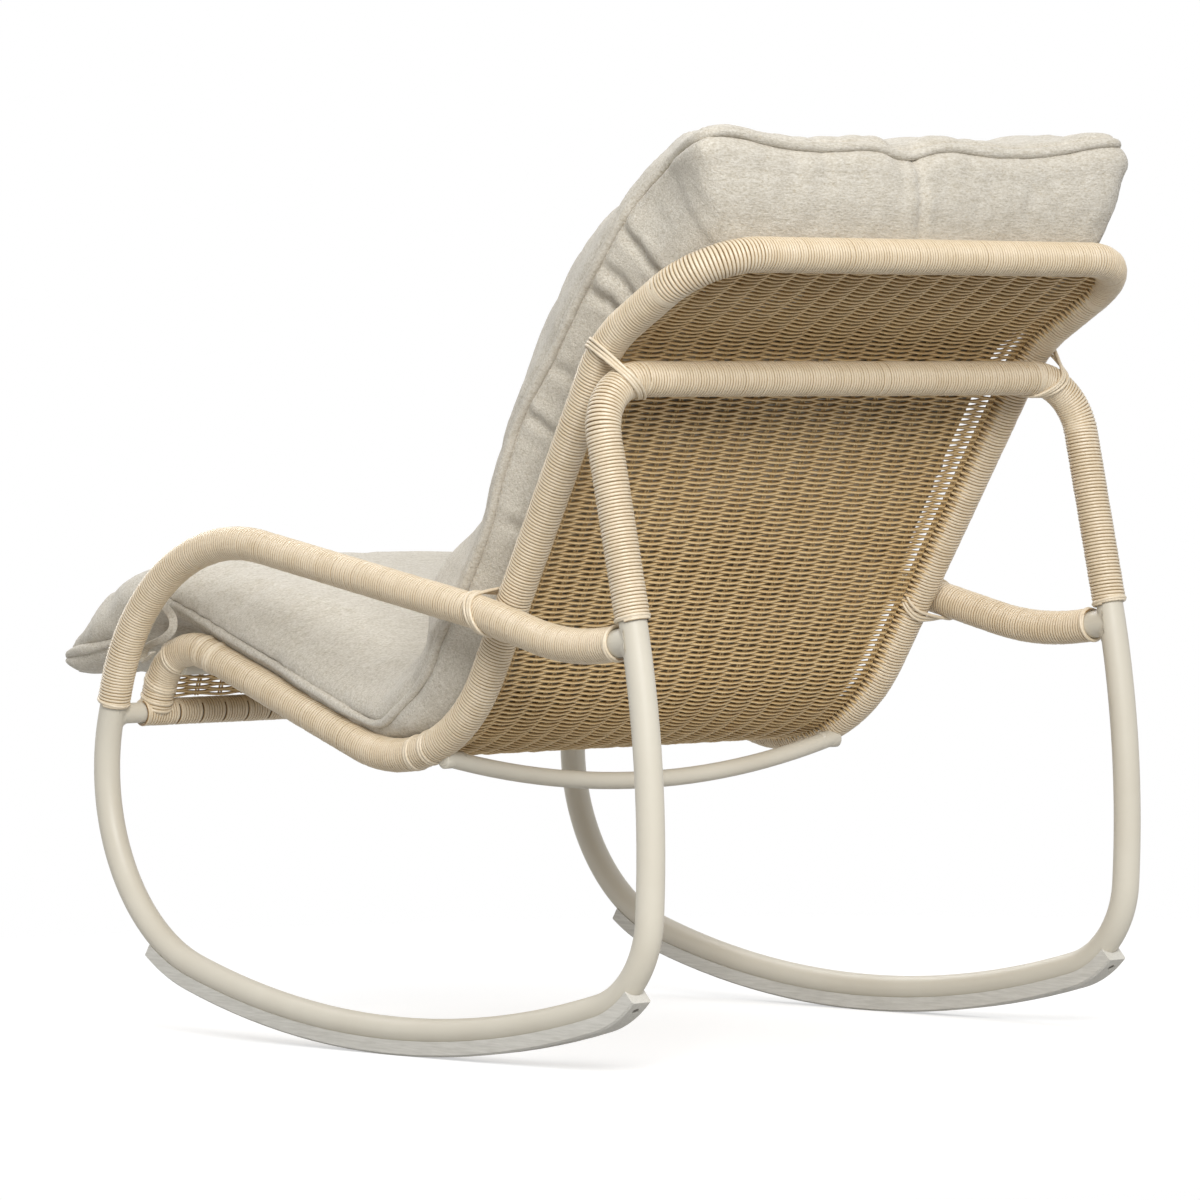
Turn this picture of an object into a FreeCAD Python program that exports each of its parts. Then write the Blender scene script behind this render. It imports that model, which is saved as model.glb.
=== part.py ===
import FreeCAD, Part
import math
import os
import Sketcher

# Outdoor rocking chair: a painted tube frame on curved runners, wound and woven with round cord,
# with a one-piece lounge cushion. +Z is up, the sitter looks along -Y and +X is the sitter's left.
# The floor is z = 0 and lengths along Y are measured from the lowest point of the runners.

V = FreeCAD.Vector
SOLVER_STEPS = 45
POST_TURN_LIMIT = 25
doc = FreeCAD.newDocument("rocking_chair")
sheet = doc.addObject("Spreadsheet::Sheet", "Sizes")

SIZES = [
    # frame tube and the cord wound on it
    ("tube_radius", 14.0),
    ("tube_wall", 1.5),
    ("strand", 3.5),
    ("wind_gap", 0.2),
    ("seat_gap", 0.4),
    ("weld_gap", 0.1),
    ("runner_low_y", 90.0),
    ("track_half", 330.0),
    # side frame: runner, rear post and front leg
    ("runner_radius", 1217.0),
    ("runner_rear_reach", 298.04),
    ("runner_front_arc", 16.24),
    ("rear_bend_radius", 101.0),
    ("post_foot_angle", 85.07),
    ("post_radius", 1004.0),
    ("front_bend_radius", 208.5),
    ("leg_angle", 107.9),
    ("leg_stub", 26.0),
    # hoop behind the back rest
    ("crossbar_drop", 36.9),
    ("hoop_bend_radius", 58.0),
    ("post_wrap_overlap", 4.0),
    # arm rest
    ("arm_rise", 225.4),
    ("arm_bend_radius", 218.0),
    ("arm_cross_back", 117.3),
    ("arm_cross_rise", 185.4),
    ("arm_cross_radius", 500.0),
    ("arm_dip_back", 140.2),
    ("arm_dip_fall", 35.7),
    ("arm_dip_radius", 330.0),
    ("arm_end_rise", 10.7),
    ("arm_bare_end", 12.0),
    # hoop that carries the woven seat and back
    ("rail_half", 273.0),
    ("rail_top_half", 297.0),
    ("knuckle_back", 31.9),
    ("knuckle_rise", 87.6),
    ("knuckle_radius", 70.0),
    ("seat_run", 454.4),
    ("seat_fall", 163.3),
    ("hip_radius", 180.0),
    ("back_run", 286.8),
    ("back_rise", 450.9),
    ("head_radius", 140.0),
    ("head_run", 147.4),
    ("head_rise", 80.3),
    ("top_radius", 70.0),
    # cross tubes
    ("cross_radius", 11.0),
    ("cross_wall", 1.2),
    ("knee_radius", 10.0),
    ("brace_radius", 9.0),
    ("brace_drop", 16.5),
    ("brace_bow", 35.0),
    # woven panel
    ("weave_thickness", 5.0),
    ("weave_gap", 0.3),
    # runner glides and their screws
    ("glide_drop", 10.0),
    ("glide_half_width", 12.5),
    ("glide_horn", 6.0),
    ("glide_gap", 0.2),
    ("glide_edge", 2.0),
    ("glide_front_angle", 34.5),
    ("glide_rear_angle", 44.5),
    ("screw_inset", 13.0),
    ("screw_radius", 2.0),
    ("screw_head_radius", 3.8),
    ("screw_head_height", 2.4),
    ("screw_recess", 4.0),
    ("screw_length", 12.0),
    ("screw_gap", 0.15),
    # cushion: its seam line from the front edge, over the seat and up the back
    ("cushion_inset", 14.0),
    ("cushion_corner", 4.0),
    ("cushion_front_reach", 154.1),
    ("cushion_front_fall", 82.0),
    ("cushion_peak_forward", 29.7),
    ("cushion_peak_rise", 46.0),
    ("cushion_peak_radius", 60.0),
    ("cushion_hip_back", 3.7),
    ("cushion_hip_rise", 31.6),
    ("cushion_hip_radius", 150.0),
    ("cushion_back_run", 141.6),
    ("cushion_back_rise", 381.6),
    ("cushion_back_radius", 300.0),
    ("cushion_head_back", 56.0),
    ("cushion_head_rise", 168.3),
    ("cushion_head_radius", 140.0),
    ("cushion_top_forward", 8.0),
    ("cushion_top_rise", 111.0),
    ("cushion_edge", 12.0),
    ("cushion_gap", 0.4),
    ("front_crown", 35.0),
    ("seat_crown", 42.0),
    ("hip_crown", 54.0),
    ("back_crown", 94.0),
    ("neck_crown", 58.0),
    ("head_crown", 68.0),
    ("top_crown", 8.0),
    ("front_belly", 26.0),
    ("seat_belly", 26.0),
    ("back_belly", 92.0),
    ("head_belly", 84.0),
    ("top_belly", 84.0),
    ("crown_roll", 38.0),
    ("belly_roll", 36.0),
    ("side_bulge", 0.2),
    ("shoulder_share", 0.94),
    ("shoulder_inset", 0.3),
    # welt sewn round the cushion's edge, and its tie tapes
    ("welt_radius", 3.5),
    ("welt_gap", 0.3),
    ("welt_corner_radius", 14.0),
    ("tie_radius", 3.0),
    ("tie_gap", 3.3),
    ("tie_out", 14.0),
    ("tie_start", 0.14),
    ("tie_reach", 30.0),
    ("tie_loop", 42.0),
    ("tie_back", 46.0),
    ("tie_knot", 10.0),
    ("tie_tail", 32.0),
    ("tie_bend_radius", 9.0),
]
for row, (alias, value) in enumerate(SIZES, start=1):
    sheet.set(f"A{row}", alias.replace("_", " "))
    sheet.set(f"B{row}", str(value))
    sheet.setAlias(f"B{row}", alias)
doc.recompute()


def size(alias):
    return float(sheet.get(alias))


def place(x, y, z):
    """A point of the chair: y is measured from the lowest point of the runners."""
    return V(x, y + size("runner_low_y"), z)


wound_radius = size("tube_radius") + size("wind_gap") + size("strand")
cross_wound_radius = size("cross_radius") + size("wind_gap") + size("strand")
touch = 2 * wound_radius + size("seat_gap")
nodes = []


def node(name, thing):
    """Name a finished piece."""
    thing.Label = name
    nodes.append(thing)
    return thing


def line_object(name, wire):
    """A centre line that sweeps follow."""
    line = doc.addObject("Part::Feature", name)
    line.Shape = wire
    return line


def bent_edges(points, radii):
    """Straight runs through the points, with a tangent arc of its radius at each inner point."""
    edges = []
    start = points[0]
    for before, corner, after, radius in zip(points, points[1:], points[2:], radii):
        back = (before - corner).normalize()
        ahead = (after - corner).normalize()
        half = back.getAngle(ahead) / 2
        inward = (back + ahead).normalize()
        first = corner + back * (radius / math.tan(half))
        last = corner + ahead * (radius / math.tan(half))
        middle = corner + inward * (radius / math.sin(half) - radius)
        edges.append(Part.LineSegment(start, first).toShape())
        edges.append(Part.Arc(first, middle, last).toShape())
        start = last
    edges.append(Part.LineSegment(start, points[-1]).toShape())
    return edges


def bent_wire(points, radii):
    return Part.Wire(bent_edges(points, radii))


def rod(name, line, radius):
    """A round bar along a line; radius is an expression on the sheet."""
    first = line.Shape.Edges[0]
    ring = doc.addObject("Part::Circle", name + "_ring")
    ring.setExpression("Radius", radius)
    begin = first.valueAt(first.FirstParameter)
    heading = first.tangentAt(first.FirstParameter)
    ring.Placement = FreeCAD.Placement(begin, FreeCAD.Rotation(V(0, 0, 1), heading))
    bar = doc.addObject("Part::Sweep", name)
    bar.Sections = [ring]
    bar.Spine = (line, [f"Edge{i + 1}" for i in range(len(line.Shape.Edges))])
    bar.Solid = True
    bar.Frenet = False
    doc.recompute()
    return bar


def cut(name, base, *tools):
    """The base with each tool taken away."""
    for count, tool in enumerate(tools, start=1):
        result = doc.addObject("Part::Cut", f"{name}_{count}")
        result.Base = base
        result.Tool = tool
        base = result
    doc.recompute()
    return base


def pipe(name, line, outer, inner):
    """A tube along a line."""
    return cut(name, rod(name + "_outside", line, outer), rod(name + "_bore", line, inner))


TUBE = "Sizes.tube_radius"
TUBE_BORE = "Sizes.tube_radius - Sizes.tube_wall"
WOUND = "Sizes.tube_radius + Sizes.wind_gap + Sizes.strand"
WOUND_BORE = "Sizes.tube_radius + Sizes.wind_gap"
WELD = "Sizes.tube_radius + Sizes.weld_gap"
CLEAR = WOUND + " + Sizes.weave_gap"


# Side frame in its own plane, as (y, z): arcs that follow each other tangentially.

def arc_from(point, angle, end_angle, radius, way):
    """Arc that starts at angle from the floor and ends at end_angle; way is +1 rearward, -1 forward."""
    a, b = math.radians(angle), math.radians(end_angle)
    centre = (point[0] - way * radius * math.sin(a), point[1] + radius * math.cos(a))

    def at(t):
        return (centre[0] + way * radius * math.sin(t), centre[1] - radius * math.cos(t))

    return at, at(b), at((a + b) / 2)


runner_z = size("glide_drop") + size("tube_radius")
lowest = (0.0, runner_z)
_, runner_front, _ = arc_from(lowest, 0, size("runner_front_arc"), size("runner_radius"), -1)
front_bend_at, leg_foot, front_bend_mid = arc_from(
    runner_front, size("runner_front_arc"), size("leg_angle"), size("front_bend_radius"), -1)
leg_lean = math.radians(size("leg_angle"))
leg_run = (-math.cos(leg_lean), math.sin(leg_lean))


def up_leg(distance):
    """Point of the straight front leg above its bend."""
    return (leg_foot[0] + leg_run[0] * distance, leg_foot[1] + leg_run[1] * distance)


# Seat hoop: the two rails and the top rail are one bent tube, its ends on the front cross tube.
# Its corners follow each other: the knuckle at the front edge, the hip, the head and the top.

def step(point, back, rise):
    return (point[0] + back, point[1] + rise)


knuckle = step(leg_foot, size("knuckle_back"), size("knuckle_rise"))
hip = step(knuckle, size("seat_run"), -size("seat_fall"))
head = step(hip, size("back_run"), size("back_rise"))
top = step(head, size("head_run"), size("head_rise"))
crossbar_z = head[1] - size("crossbar_drop")

# The runner reaches a set distance behind the hip, where it bends up into the rear post.

rear_arc = math.degrees(math.asin((hip[0] + size("runner_rear_reach")) / size("runner_radius")))
_, runner_rear, _ = arc_from(lowest, 0, rear_arc, size("runner_radius"), 1)
rear_bend_at, post_foot, rear_bend_mid = arc_from(
    runner_rear, rear_arc, size("post_foot_angle"), size("rear_bend_radius"), 1)


def rail_corners(side):
    low, high = side * size("rail_half"), side * size("rail_top_half")
    return [place(low, *leg_foot), place(low, *knuckle), place(low, *hip), place(high, *head), place(high, *top)]


bend_radii = [size("knuckle_radius"), size("hip_radius"), size("head_radius")]
left_corners = rail_corners(1)
right_corners = rail_corners(-1)
rail_wire = {1: bent_wire(left_corners, bend_radii), -1: bent_wire(right_corners, bend_radii)}
hoop_wire = bent_wire(left_corners + right_corners[::-1],
                      bend_radii + [size("top_radius")] * 2 + bend_radii[::-1])
hoop_line = line_object("seat_hoop_line", hoop_wire)


# The crossbar of the rear hoop lies against the back of the rails.

def crossbar_axis(y):
    return Part.LineSegment(place(-size("rail_top_half"), y, crossbar_z),
                            place(size("rail_top_half"), y, crossbar_z)).toShape()


crossbar_y = head[0] + touch
for _ in range(SOLVER_STEPS):
    crossbar_y += touch - crossbar_axis(crossbar_y).distToShape(rail_wire[1])[0]


def post_end(angle):
    """Top of the rear post's arc, and how far the crossbar lies in front of its tangent there."""
    _, end, _ = arc_from(post_foot, size("post_foot_angle"), angle, size("post_radius"), 1)
    a = math.radians(angle)
    reach = (crossbar_y - end[0], crossbar_z - end[1])
    return end, reach[0] * math.sin(a) - reach[1] * math.cos(a)


low_angle = size("post_foot_angle")
high_angle = low_angle + POST_TURN_LIMIT
for _ in range(SOLVER_STEPS):
    post_angle = (low_angle + high_angle) / 2
    if post_end(post_angle)[1] < 0:
        low_angle = post_angle
    else:
        high_angle = post_angle
post_at, post_top, post_mid = arc_from(
    post_foot, size("post_foot_angle"), post_angle, size("post_radius"), 1)


def side_place(side, point):
    return place(side * size("track_half"), point[0], point[1])


def side_arc(side, first, middle, last):
    return Part.Arc(side_place(side, first), side_place(side, middle), side_place(side, last)).toShape()


def rocker_wire(side):
    """Rear post, rear bend, runner, front bend and the foot of the front leg."""
    return Part.Wire([
        side_arc(side, post_top, post_mid, post_foot),
        side_arc(side, post_foot, rear_bend_mid, runner_rear),
        side_arc(side, runner_rear, lowest, runner_front),
        side_arc(side, runner_front, front_bend_mid, leg_foot),
        Part.LineSegment(side_place(side, leg_foot), side_place(side, up_leg(size("leg_stub")))).toShape(),
    ])


# Arm rest: up from the front leg, back along the outside of the rail, where it touches, to the post.

def post_at_height(height):
    """Axis of the rear post at a height."""
    low, high = math.radians(size("post_foot_angle")), math.radians(post_angle)
    for _ in range(SOLVER_STEPS):
        middle = (low + high) / 2
        if post_at(middle)[1] < height:
            low = middle
        else:
            high = middle
    return post_at(low)


arm_corner = up_leg(size("arm_rise"))
arm_cross = step(hip, size("arm_cross_back"), size("arm_cross_rise"))
arm_dip = step(arm_cross, size("arm_dip_back"), -size("arm_dip_fall"))
arm_end = post_at_height(arm_dip[1] + size("arm_end_rise"))


def arm_points(side, cross_x, start):
    """Corners of the arm; cross_x is its distance from the middle where it passes the rail."""
    dip_x = (cross_x + size("track_half")) / 2
    return [
        side_place(side, up_leg(start)),
        side_place(side, arm_corner),
        place(side * cross_x, *arm_cross),
        place(side * dip_x, *arm_dip),
        side_place(side, arm_end),
    ]


arm_radii = [size("arm_bend_radius"), size("arm_cross_radius"), size("arm_dip_radius")]
arm_cross_x = size("rail_half") + touch
for _ in range(SOLVER_STEPS):
    arm_wire = bent_wire(arm_points(1, arm_cross_x, size("leg_stub")), arm_radii)
    arm_cross_x += touch - arm_wire.distToShape(rail_wire[1])[0]

# Solids that the coped ends and the wound cord are cut with.

hoop_body = rod("seat_hoop_weld", hoop_line, WELD)
hoop_clear = rod("seat_hoop_clear", hoop_line, CLEAR)
rocker_line = {}
rocker_weld = {}
for side, name in ((1, "left"), (-1, "right")):
    rocker_line[side] = line_object(name + "_rocker_line", rocker_wire(side))
    rocker_weld[side] = rod(name + "_rocker_weld", rocker_line[side], WELD)


# Front cross tube from leg to leg, and the knee tube inside the front bend of the rails.

def cross_pipe(name, half_length, outer, inner, at):
    """Straight tube across the chair, drawn as a ring and padded both ways."""
    body = doc.addObject("PartDesign::Body", name)
    sketch = body.newObject("Sketcher::SketchObject", name + "_ring")
    plane = [f for f in body.Origin.OriginFeatures if f.Role == "YZ_Plane"][0]
    sketch.AttachmentSupport = [(plane, "")]
    sketch.MapMode = "FlatFace"
    for number, radius in enumerate((outer, inner)):
        start_radius = 1.0 + number
        sketch.addGeometry(Part.Circle(V(0, 0, 0), V(0, 0, 1), start_radius), False)
        sketch.addConstraint(Sketcher.Constraint("Coincident", number, 3, -1, 1))
        radius_rule = sketch.addConstraint(Sketcher.Constraint("Radius", number, start_radius))
        sketch.renameConstraint(radius_rule, f"ring_{number}")
        sketch.setExpression(f"Constraints.ring_{number}", radius)
    doc.recompute()
    pad = body.newObject("PartDesign::Pad", name + "_pad")
    pad.Profile = sketch
    pad.SideType = "Symmetric"
    pad.setExpression("Length", "2 * (" + half_length + ")")
    body.Placement = FreeCAD.Placement(at, FreeCAD.Rotation())
    doc.recompute()
    return body


def cross_bar(name, half_length, radius, at):
    """Solid round bar across the chair, to cut with."""
    bar = doc.addObject("Part::Cylinder", name)
    bar.setExpression("Radius", radius)
    bar.setExpression("Height", "2 * (" + half_length + ")")
    doc.recompute()
    bar.Placement = FreeCAD.Placement(at - V(bar.Height.Value / 2, 0, 0), FreeCAD.Rotation(V(0, 0, 1), V(1, 0, 0)))
    return bar


cross_at = place(0, leg_foot[0], leg_foot[1])
front_cross = cross_pipe("front_cross", "Sizes.track_half", "Sizes.cross_radius",
                         "Sizes.cross_radius - Sizes.cross_wall", cross_at)
node("front_cross_tube", cut("front_cross_tube", front_cross, rocker_weld[1], rocker_weld[-1]))

knuckle_arc = rail_wire[1].Edges[1]
knuckle_middle = knuckle_arc.valueAt((knuckle_arc.FirstParameter + knuckle_arc.LastParameter) / 2)
knee_offset = size("weave_thickness") / 2 + size("weave_gap") + size("knee_radius")
knee_at = knuckle_middle + (knuckle_arc.Curve.Center - knuckle_middle).normalize() * knee_offset
knee_at.x = 0
knee = cross_pipe("knee_cross", "Sizes.rail_half", "Sizes.knee_radius",
                  "Sizes.knee_radius - Sizes.cross_wall", knee_at)
node("knee_cross_tube", cut("knee_cross_tube", knee, hoop_body))
knee_clear = cross_bar("knee_clear", "Sizes.rail_half", "Sizes.knee_radius + Sizes.wind_gap", knee_at)

# Bowed brace under the seat, welded to the underside of both rails.

brace_plane = Part.LineSegment(place(size("rail_half"), hip[0], 0),
                               place(size("rail_half"), hip[0], top[1])).toShape()
brace_seat = brace_plane.distToShape(rail_wire[1])[1][0][0]
brace_end_z = brace_seat.z - size("brace_drop")
brace_wire = Part.Wire([Part.Arc(
    place(-size("rail_half"), hip[0], brace_end_z),
    place(0, hip[0], brace_end_z - size("brace_bow")),
    place(size("rail_half"), hip[0], brace_end_z)).toShape()])
brace_line = line_object("brace_line", brace_wire)
brace = pipe("brace", brace_line, "Sizes.brace_radius", "Sizes.brace_radius - Sizes.cross_wall")
node("seat_brace_tube", cut("seat_brace_tube", brace, hoop_body))
brace_clear = rod("brace_clear", brace_line, "Sizes.brace_radius + Sizes.wind_gap")

# Seat hoop tube, coped on the front cross tube.

cross_weld = cross_bar("cross_weld", "Sizes.track_half", "Sizes.cross_radius + Sizes.weld_gap", cross_at)
hoop_tube = pipe("seat_hoop", hoop_line, TUBE, TUBE_BORE)
node("seat_hoop_tube", cut("seat_hoop_tube", hoop_tube, cross_weld))

# Rear hoop: both posts and the crossbar, above the rocker tubes.

hoop_points = [side_place(1, post_top),
               place(size("track_half"), crossbar_y, crossbar_z),
               place(-size("track_half"), crossbar_y, crossbar_z),
               side_place(-1, post_top)]
rear_edges = bent_edges(hoop_points, [size("hoop_bend_radius")] * 2)
rear_line = line_object("rear_hoop_line", Part.Wire(rear_edges))
node("rear_hoop_tube", pipe("rear_hoop", rear_line, TUBE, TUBE_BORE))

crossbar_line = line_object("crossbar_line", Part.Wire([rear_edges[2]]))
node("crossbar_wrap", pipe("crossbar_wrap", crossbar_line, WOUND, WOUND_BORE))

for side, name, edges in ((1, "left", rear_edges[:2]), (-1, "right", rear_edges[3:])):
    straight = edges[0] if side == 1 else edges[1]
    bend = edges[1] if side == 1 else edges[0]
    ends = [straight.Vertexes[0].Point, straight.Vertexes[1].Point]
    low_end = min(ends, key=lambda p: p.z)
    high_end = max(ends, key=lambda p: p.z)
    begin = low_end + (low_end - high_end).normalize() * size("post_wrap_overlap")
    run = Part.LineSegment(begin, high_end).toShape()
    post_line = line_object(name + "_post_line", Part.Wire(Part.__sortEdges__([run, bend])))
    node(name + "_post_wrap", pipe(name + "_post_wrap", post_line, WOUND, WOUND_BORE))

# Side frames, arms and rails, with the cord wound on them.

rail_stop = cross_wound_radius + size("seat_gap")
wrap_start = size("cross_radius") + size("seat_gap")
for side, name in ((1, "left"), (-1, "right")):
    arm_line = line_object(name + "_arm_line",
                           bent_wire(arm_points(side, arm_cross_x, size("leg_stub")), arm_radii))
    arm = pipe(name + "_arm", arm_line, TUBE, TUBE_BORE)
    node(name + "_arm_tube", cut(name + "_arm_tube", arm, rocker_weld[side]))

    corners = arm_points(side, arm_cross_x, wrap_start)
    last_run = (corners[-2] - corners[-1]).normalize()
    corners[-1] = corners[-1] + last_run * (size("tube_radius") + size("arm_bare_end"))
    wrap_line = line_object(name + "_arm_wrap_line", bent_wire(corners, arm_radii))
    node(name + "_arm_wrap", pipe(name + "_arm_wrap", wrap_line, WOUND, WOUND_BORE))

    edges = [e for e in rail_wire[side].Edges]
    first_run = edges[0]
    heading = first_run.tangentAt(first_run.FirstParameter)
    rail_begin = first_run.Vertexes[0].Point + heading * rail_stop
    edges[0] = Part.LineSegment(rail_begin, first_run.Vertexes[1].Point).toShape()
    head_run = edges[-1]
    rail_end = head_run.Vertexes[1].Point
    rail_end = rail_end - head_run.tangentAt(head_run.FirstParameter) * size("top_radius")
    edges[-1] = Part.LineSegment(head_run.Vertexes[0].Point, rail_end).toShape()
    rail_line = line_object(name + "_rail_line", Part.Wire(edges))
    rail_wrap = pipe(name + "_rail_wrap", rail_line, WOUND, WOUND_BORE)
    node(name + "_rail_wrap", cut(name + "_rail_wrap", rail_wrap, knee_clear, brace_clear))

top_edges = hoop_wire.Edges[7:10]
top_line = line_object("top_rail_line", Part.Wire(top_edges))
node("top_rail_wrap", pipe("top_rail_wrap", top_line, WOUND, WOUND_BORE))

front_wrap = cross_pipe("front_wound", "Sizes.rail_half - Sizes.tube_radius",
                        "Sizes.cross_radius + Sizes.wind_gap + Sizes.strand",
                        "Sizes.cross_radius + Sizes.wind_gap", cross_at)
node("front_cross_wrap", cut("front_cross_wrap", front_wrap, hoop_body))

# Runner glides: a saddle strip along the underside of each runner, held by two recessed screws.

glide_front = front_bend_at(math.radians(size("glide_front_angle")))
glide_rear = rear_bend_at(math.radians(size("glide_rear_angle")))
front_part = front_bend_at(math.radians((size("runner_front_arc") + size("glide_front_angle")) / 2))
rear_part = rear_bend_at(math.radians((rear_arc + size("glide_rear_angle")) / 2))


def glide_section(side):
    """Saddle section at the front end: cradle round the tube, straight sides and a flat foot."""
    a = math.radians(size("glide_front_angle"))
    across = V(1, 0, 0)
    down = V(0, -math.sin(a), -math.cos(a))
    centre = side_place(side, glide_front)
    cradle = size("tube_radius") + size("glide_gap")
    half = size("glide_half_width")
    foot = size("tube_radius") + size("glide_drop")
    horn = math.sqrt(cradle ** 2 - (half - size("glide_edge") / 2) ** 2)
    horn = max(horn, cradle - size("glide_horn"))
    lip = math.sqrt(cradle ** 2 - horn ** 2)

    def at(u, d):
        return centre + across * u + down * d

    return Part.Wire([
        Part.Arc(at(-lip, horn), at(0, cradle), at(lip, horn)).toShape(),
        Part.LineSegment(at(lip, horn), at(half, horn)).toShape(),
        Part.LineSegment(at(half, horn), at(half, foot - size("glide_edge"))).toShape(),
        Part.LineSegment(at(half, foot - size("glide_edge")), at(half - size("glide_edge"), foot)).toShape(),
        Part.LineSegment(at(half - size("glide_edge"), foot), at(size("glide_edge") - half, foot)).toShape(),
        Part.LineSegment(at(size("glide_edge") - half, foot), at(-half, foot - size("glide_edge"))).toShape(),
        Part.LineSegment(at(-half, foot - size("glide_edge")), at(-half, horn)).toShape(),
        Part.LineSegment(at(-half, horn), at(-lip, horn)).toShape(),
    ])


def fixing(side, end, far):
    """Foot point and inward direction of a screw, screw_inset from the end of the glide."""
    radius = size("rear_bend_radius") if end == 1 else size("front_bend_radius")
    outer = radius + size("tube_radius") + size("glide_drop")
    limit = size("glide_rear_angle") if end == 1 else size("glide_front_angle")
    a = math.radians(limit) - size("screw_inset") / outer
    axis_point = rear_bend_at(a) if end == 1 else front_bend_at(a)
    inward = V(0, -end * math.sin(a), math.cos(a))
    return side_place(side, axis_point) - inward * (size("tube_radius") + size("glide_drop") - far), inward


screws = []
for side, name in ((1, "left"), (-1, "right")):
    glide_line = line_object(name + "_glide_line", Part.Wire([
        side_arc(side, glide_front, front_part, runner_front),
        side_arc(side, runner_front, lowest, runner_rear),
        side_arc(side, runner_rear, rear_part, glide_rear),
    ]))
    section = line_object(name + "_glide_section", glide_section(side))
    glide = doc.addObject("Part::Sweep", name + "_glide")
    glide.Sections = [section]
    glide.Spine = (glide_line, ["Edge1", "Edge2", "Edge3"])
    glide.Solid = True
    glide.Frenet = False
    holes = []
    for end in (1, -1):
        head_at, inward = fixing(side, end, size("screw_recess"))
        mouth, _ = fixing(side, end, -size("glide_edge"))
        turn = FreeCAD.Rotation(V(0, 0, 1), inward)
        recess = doc.addObject("Part::Cylinder", f"{name}_recess_{end}")
        recess.setExpression("Radius", "Sizes.screw_head_radius + Sizes.screw_gap")
        recess.setExpression("Height", "Sizes.screw_recess + Sizes.glide_edge")
        recess.Placement = FreeCAD.Placement(mouth, turn)
        bore = doc.addObject("Part::Cylinder", f"{name}_bore_{end}")
        bore.setExpression("Radius", "Sizes.screw_radius + Sizes.screw_gap")
        bore.setExpression("Height", "Sizes.screw_length + Sizes.glide_edge")
        bore.Placement = FreeCAD.Placement(head_at, turn)
        holes += [recess, bore]
        button = doc.addObject("Part::Cylinder", f"{name}_head_{end}")
        button.setExpression("Radius", "Sizes.screw_head_radius")
        button.setExpression("Height", "Sizes.screw_head_height")
        button.Placement = FreeCAD.Placement(head_at - inward * size("screw_head_height"), turn)
        shank = doc.addObject("Part::Cylinder", f"{name}_shank_{end}")
        shank.setExpression("Radius", "Sizes.screw_radius")
        shank.setExpression("Height", "Sizes.screw_length")
        shank.Placement = FreeCAD.Placement(head_at, turn)
        screw = doc.addObject("Part::Fuse", f"{name}_screw_{end}")
        screw.Base = button
        screw.Tool = shank
        screws.append(screw)
    node(name + "_runner_glide", cut(name + "_runner_glide", glide, *holes))
    rocker = pipe(name + "_rocker", rocker_line[side], TUBE, TUBE_BORE)
    node(name + "_rocker_tube", cut(name + "_rocker_tube", rocker, holes[1], holes[3]))
screw_group = doc.addObject("Part::Compound", "screw_group")
screw_group.Links = screws
node("glide_screws", screw_group)

# Woven panel: one sheet between the rails from the front cross tube to the top rail, in four fields.

panel_points = [V(0, p.y, p.z) for p in left_corners]


def offset_points(points, distance):
    """The bent line's corners moved sideways, towards the sitter where distance is positive."""
    runs = [(b - a).normalize() for a, b in zip(points, points[1:])]
    sides = [V(0, -r.z, r.y) for r in runs]
    moved = [points[0] + sides[0] * distance]
    for corner, before, after in zip(points[1:], sides, sides[1:]):
        moved.append(corner + (before + after) * (distance / (1 + before.dot(after))))
    return moved[:len(points) - 1] + [points[-1] + sides[-1] * distance]


def turn_way(before, corner, after):
    return 1 if (corner - before).cross(after - corner).x > 0 else -1


def panel_wire(distance):
    radii = [r - distance * turn_way(*panel_points[i:i + 3]) for i, r in enumerate(bend_radii)]
    return bent_edges(offset_points(panel_points, distance), radii)


half_weave = size("weave_thickness") / 2
upper = panel_wire(half_weave)
lower = panel_wire(-half_weave)
closing = [Part.LineSegment(upper[0].Vertexes[0].Point, lower[0].Vertexes[0].Point).toShape(),
           Part.LineSegment(upper[-1].Vertexes[1].Point, lower[-1].Vertexes[1].Point).toShape()]
outline = Part.Wire(Part.__sortEdges__(upper + lower + closing))
wide = size("rail_top_half")
sheet_face = Part.Face(outline)
sheet_face.translate(V(-wide, 0, 0))
panel = sheet_face.extrude(V(2 * wide, 0, 0))
between = [V(size("rail_half"), 0, 0), V(size("rail_half"), 0, hip[1]),
           V(size("rail_top_half"), 0, head[1]), V(size("rail_top_half"), 0, 2 * top[1])]
between += [V(-p.x, 0, p.z) for p in between[::-1]]
deep = 4 * top[1]
trim = Part.Face(Part.makePolygon(between + between[:1]))
trim.translate(V(0, -deep / 2, 0))
panel = panel.common(trim.extrude(V(0, deep, 0)))
cross_clear = Part.makeCylinder(cross_wound_radius + size("weave_gap"), 2 * size("track_half"),
                                place(-size("track_half"), leg_foot[0], leg_foot[1]), V(1, 0, 0))
panel = panel.cut(hoop_clear.Shape).cut(cross_clear)

centre_edges = bent_edges(panel_points, bend_radii)


def field_cut(edge, fraction):
    """Plane across the panel at a place along its centre line, as a large block behind it."""
    span = edge.FirstParameter + (edge.LastParameter - edge.FirstParameter) * fraction
    point = edge.valueAt(span)
    heading = edge.tangentAt(span)
    block = Part.makeBox(deep, deep, deep)
    block.translate(V(-deep / 2, -deep / 2, 0))
    block.Placement = FreeCAD.Placement(point, FreeCAD.Rotation(V(0, 0, 1), heading)).multiply(block.Placement)
    return block


seat_block = field_cut(centre_edges[1], 1.0)
back_block = field_cut(centre_edges[3], 0.5)
head_block = field_cut(centre_edges[5], 0.5)


def largest(shape):
    return max(shape.Solids, key=lambda s: s.Volume)


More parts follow.
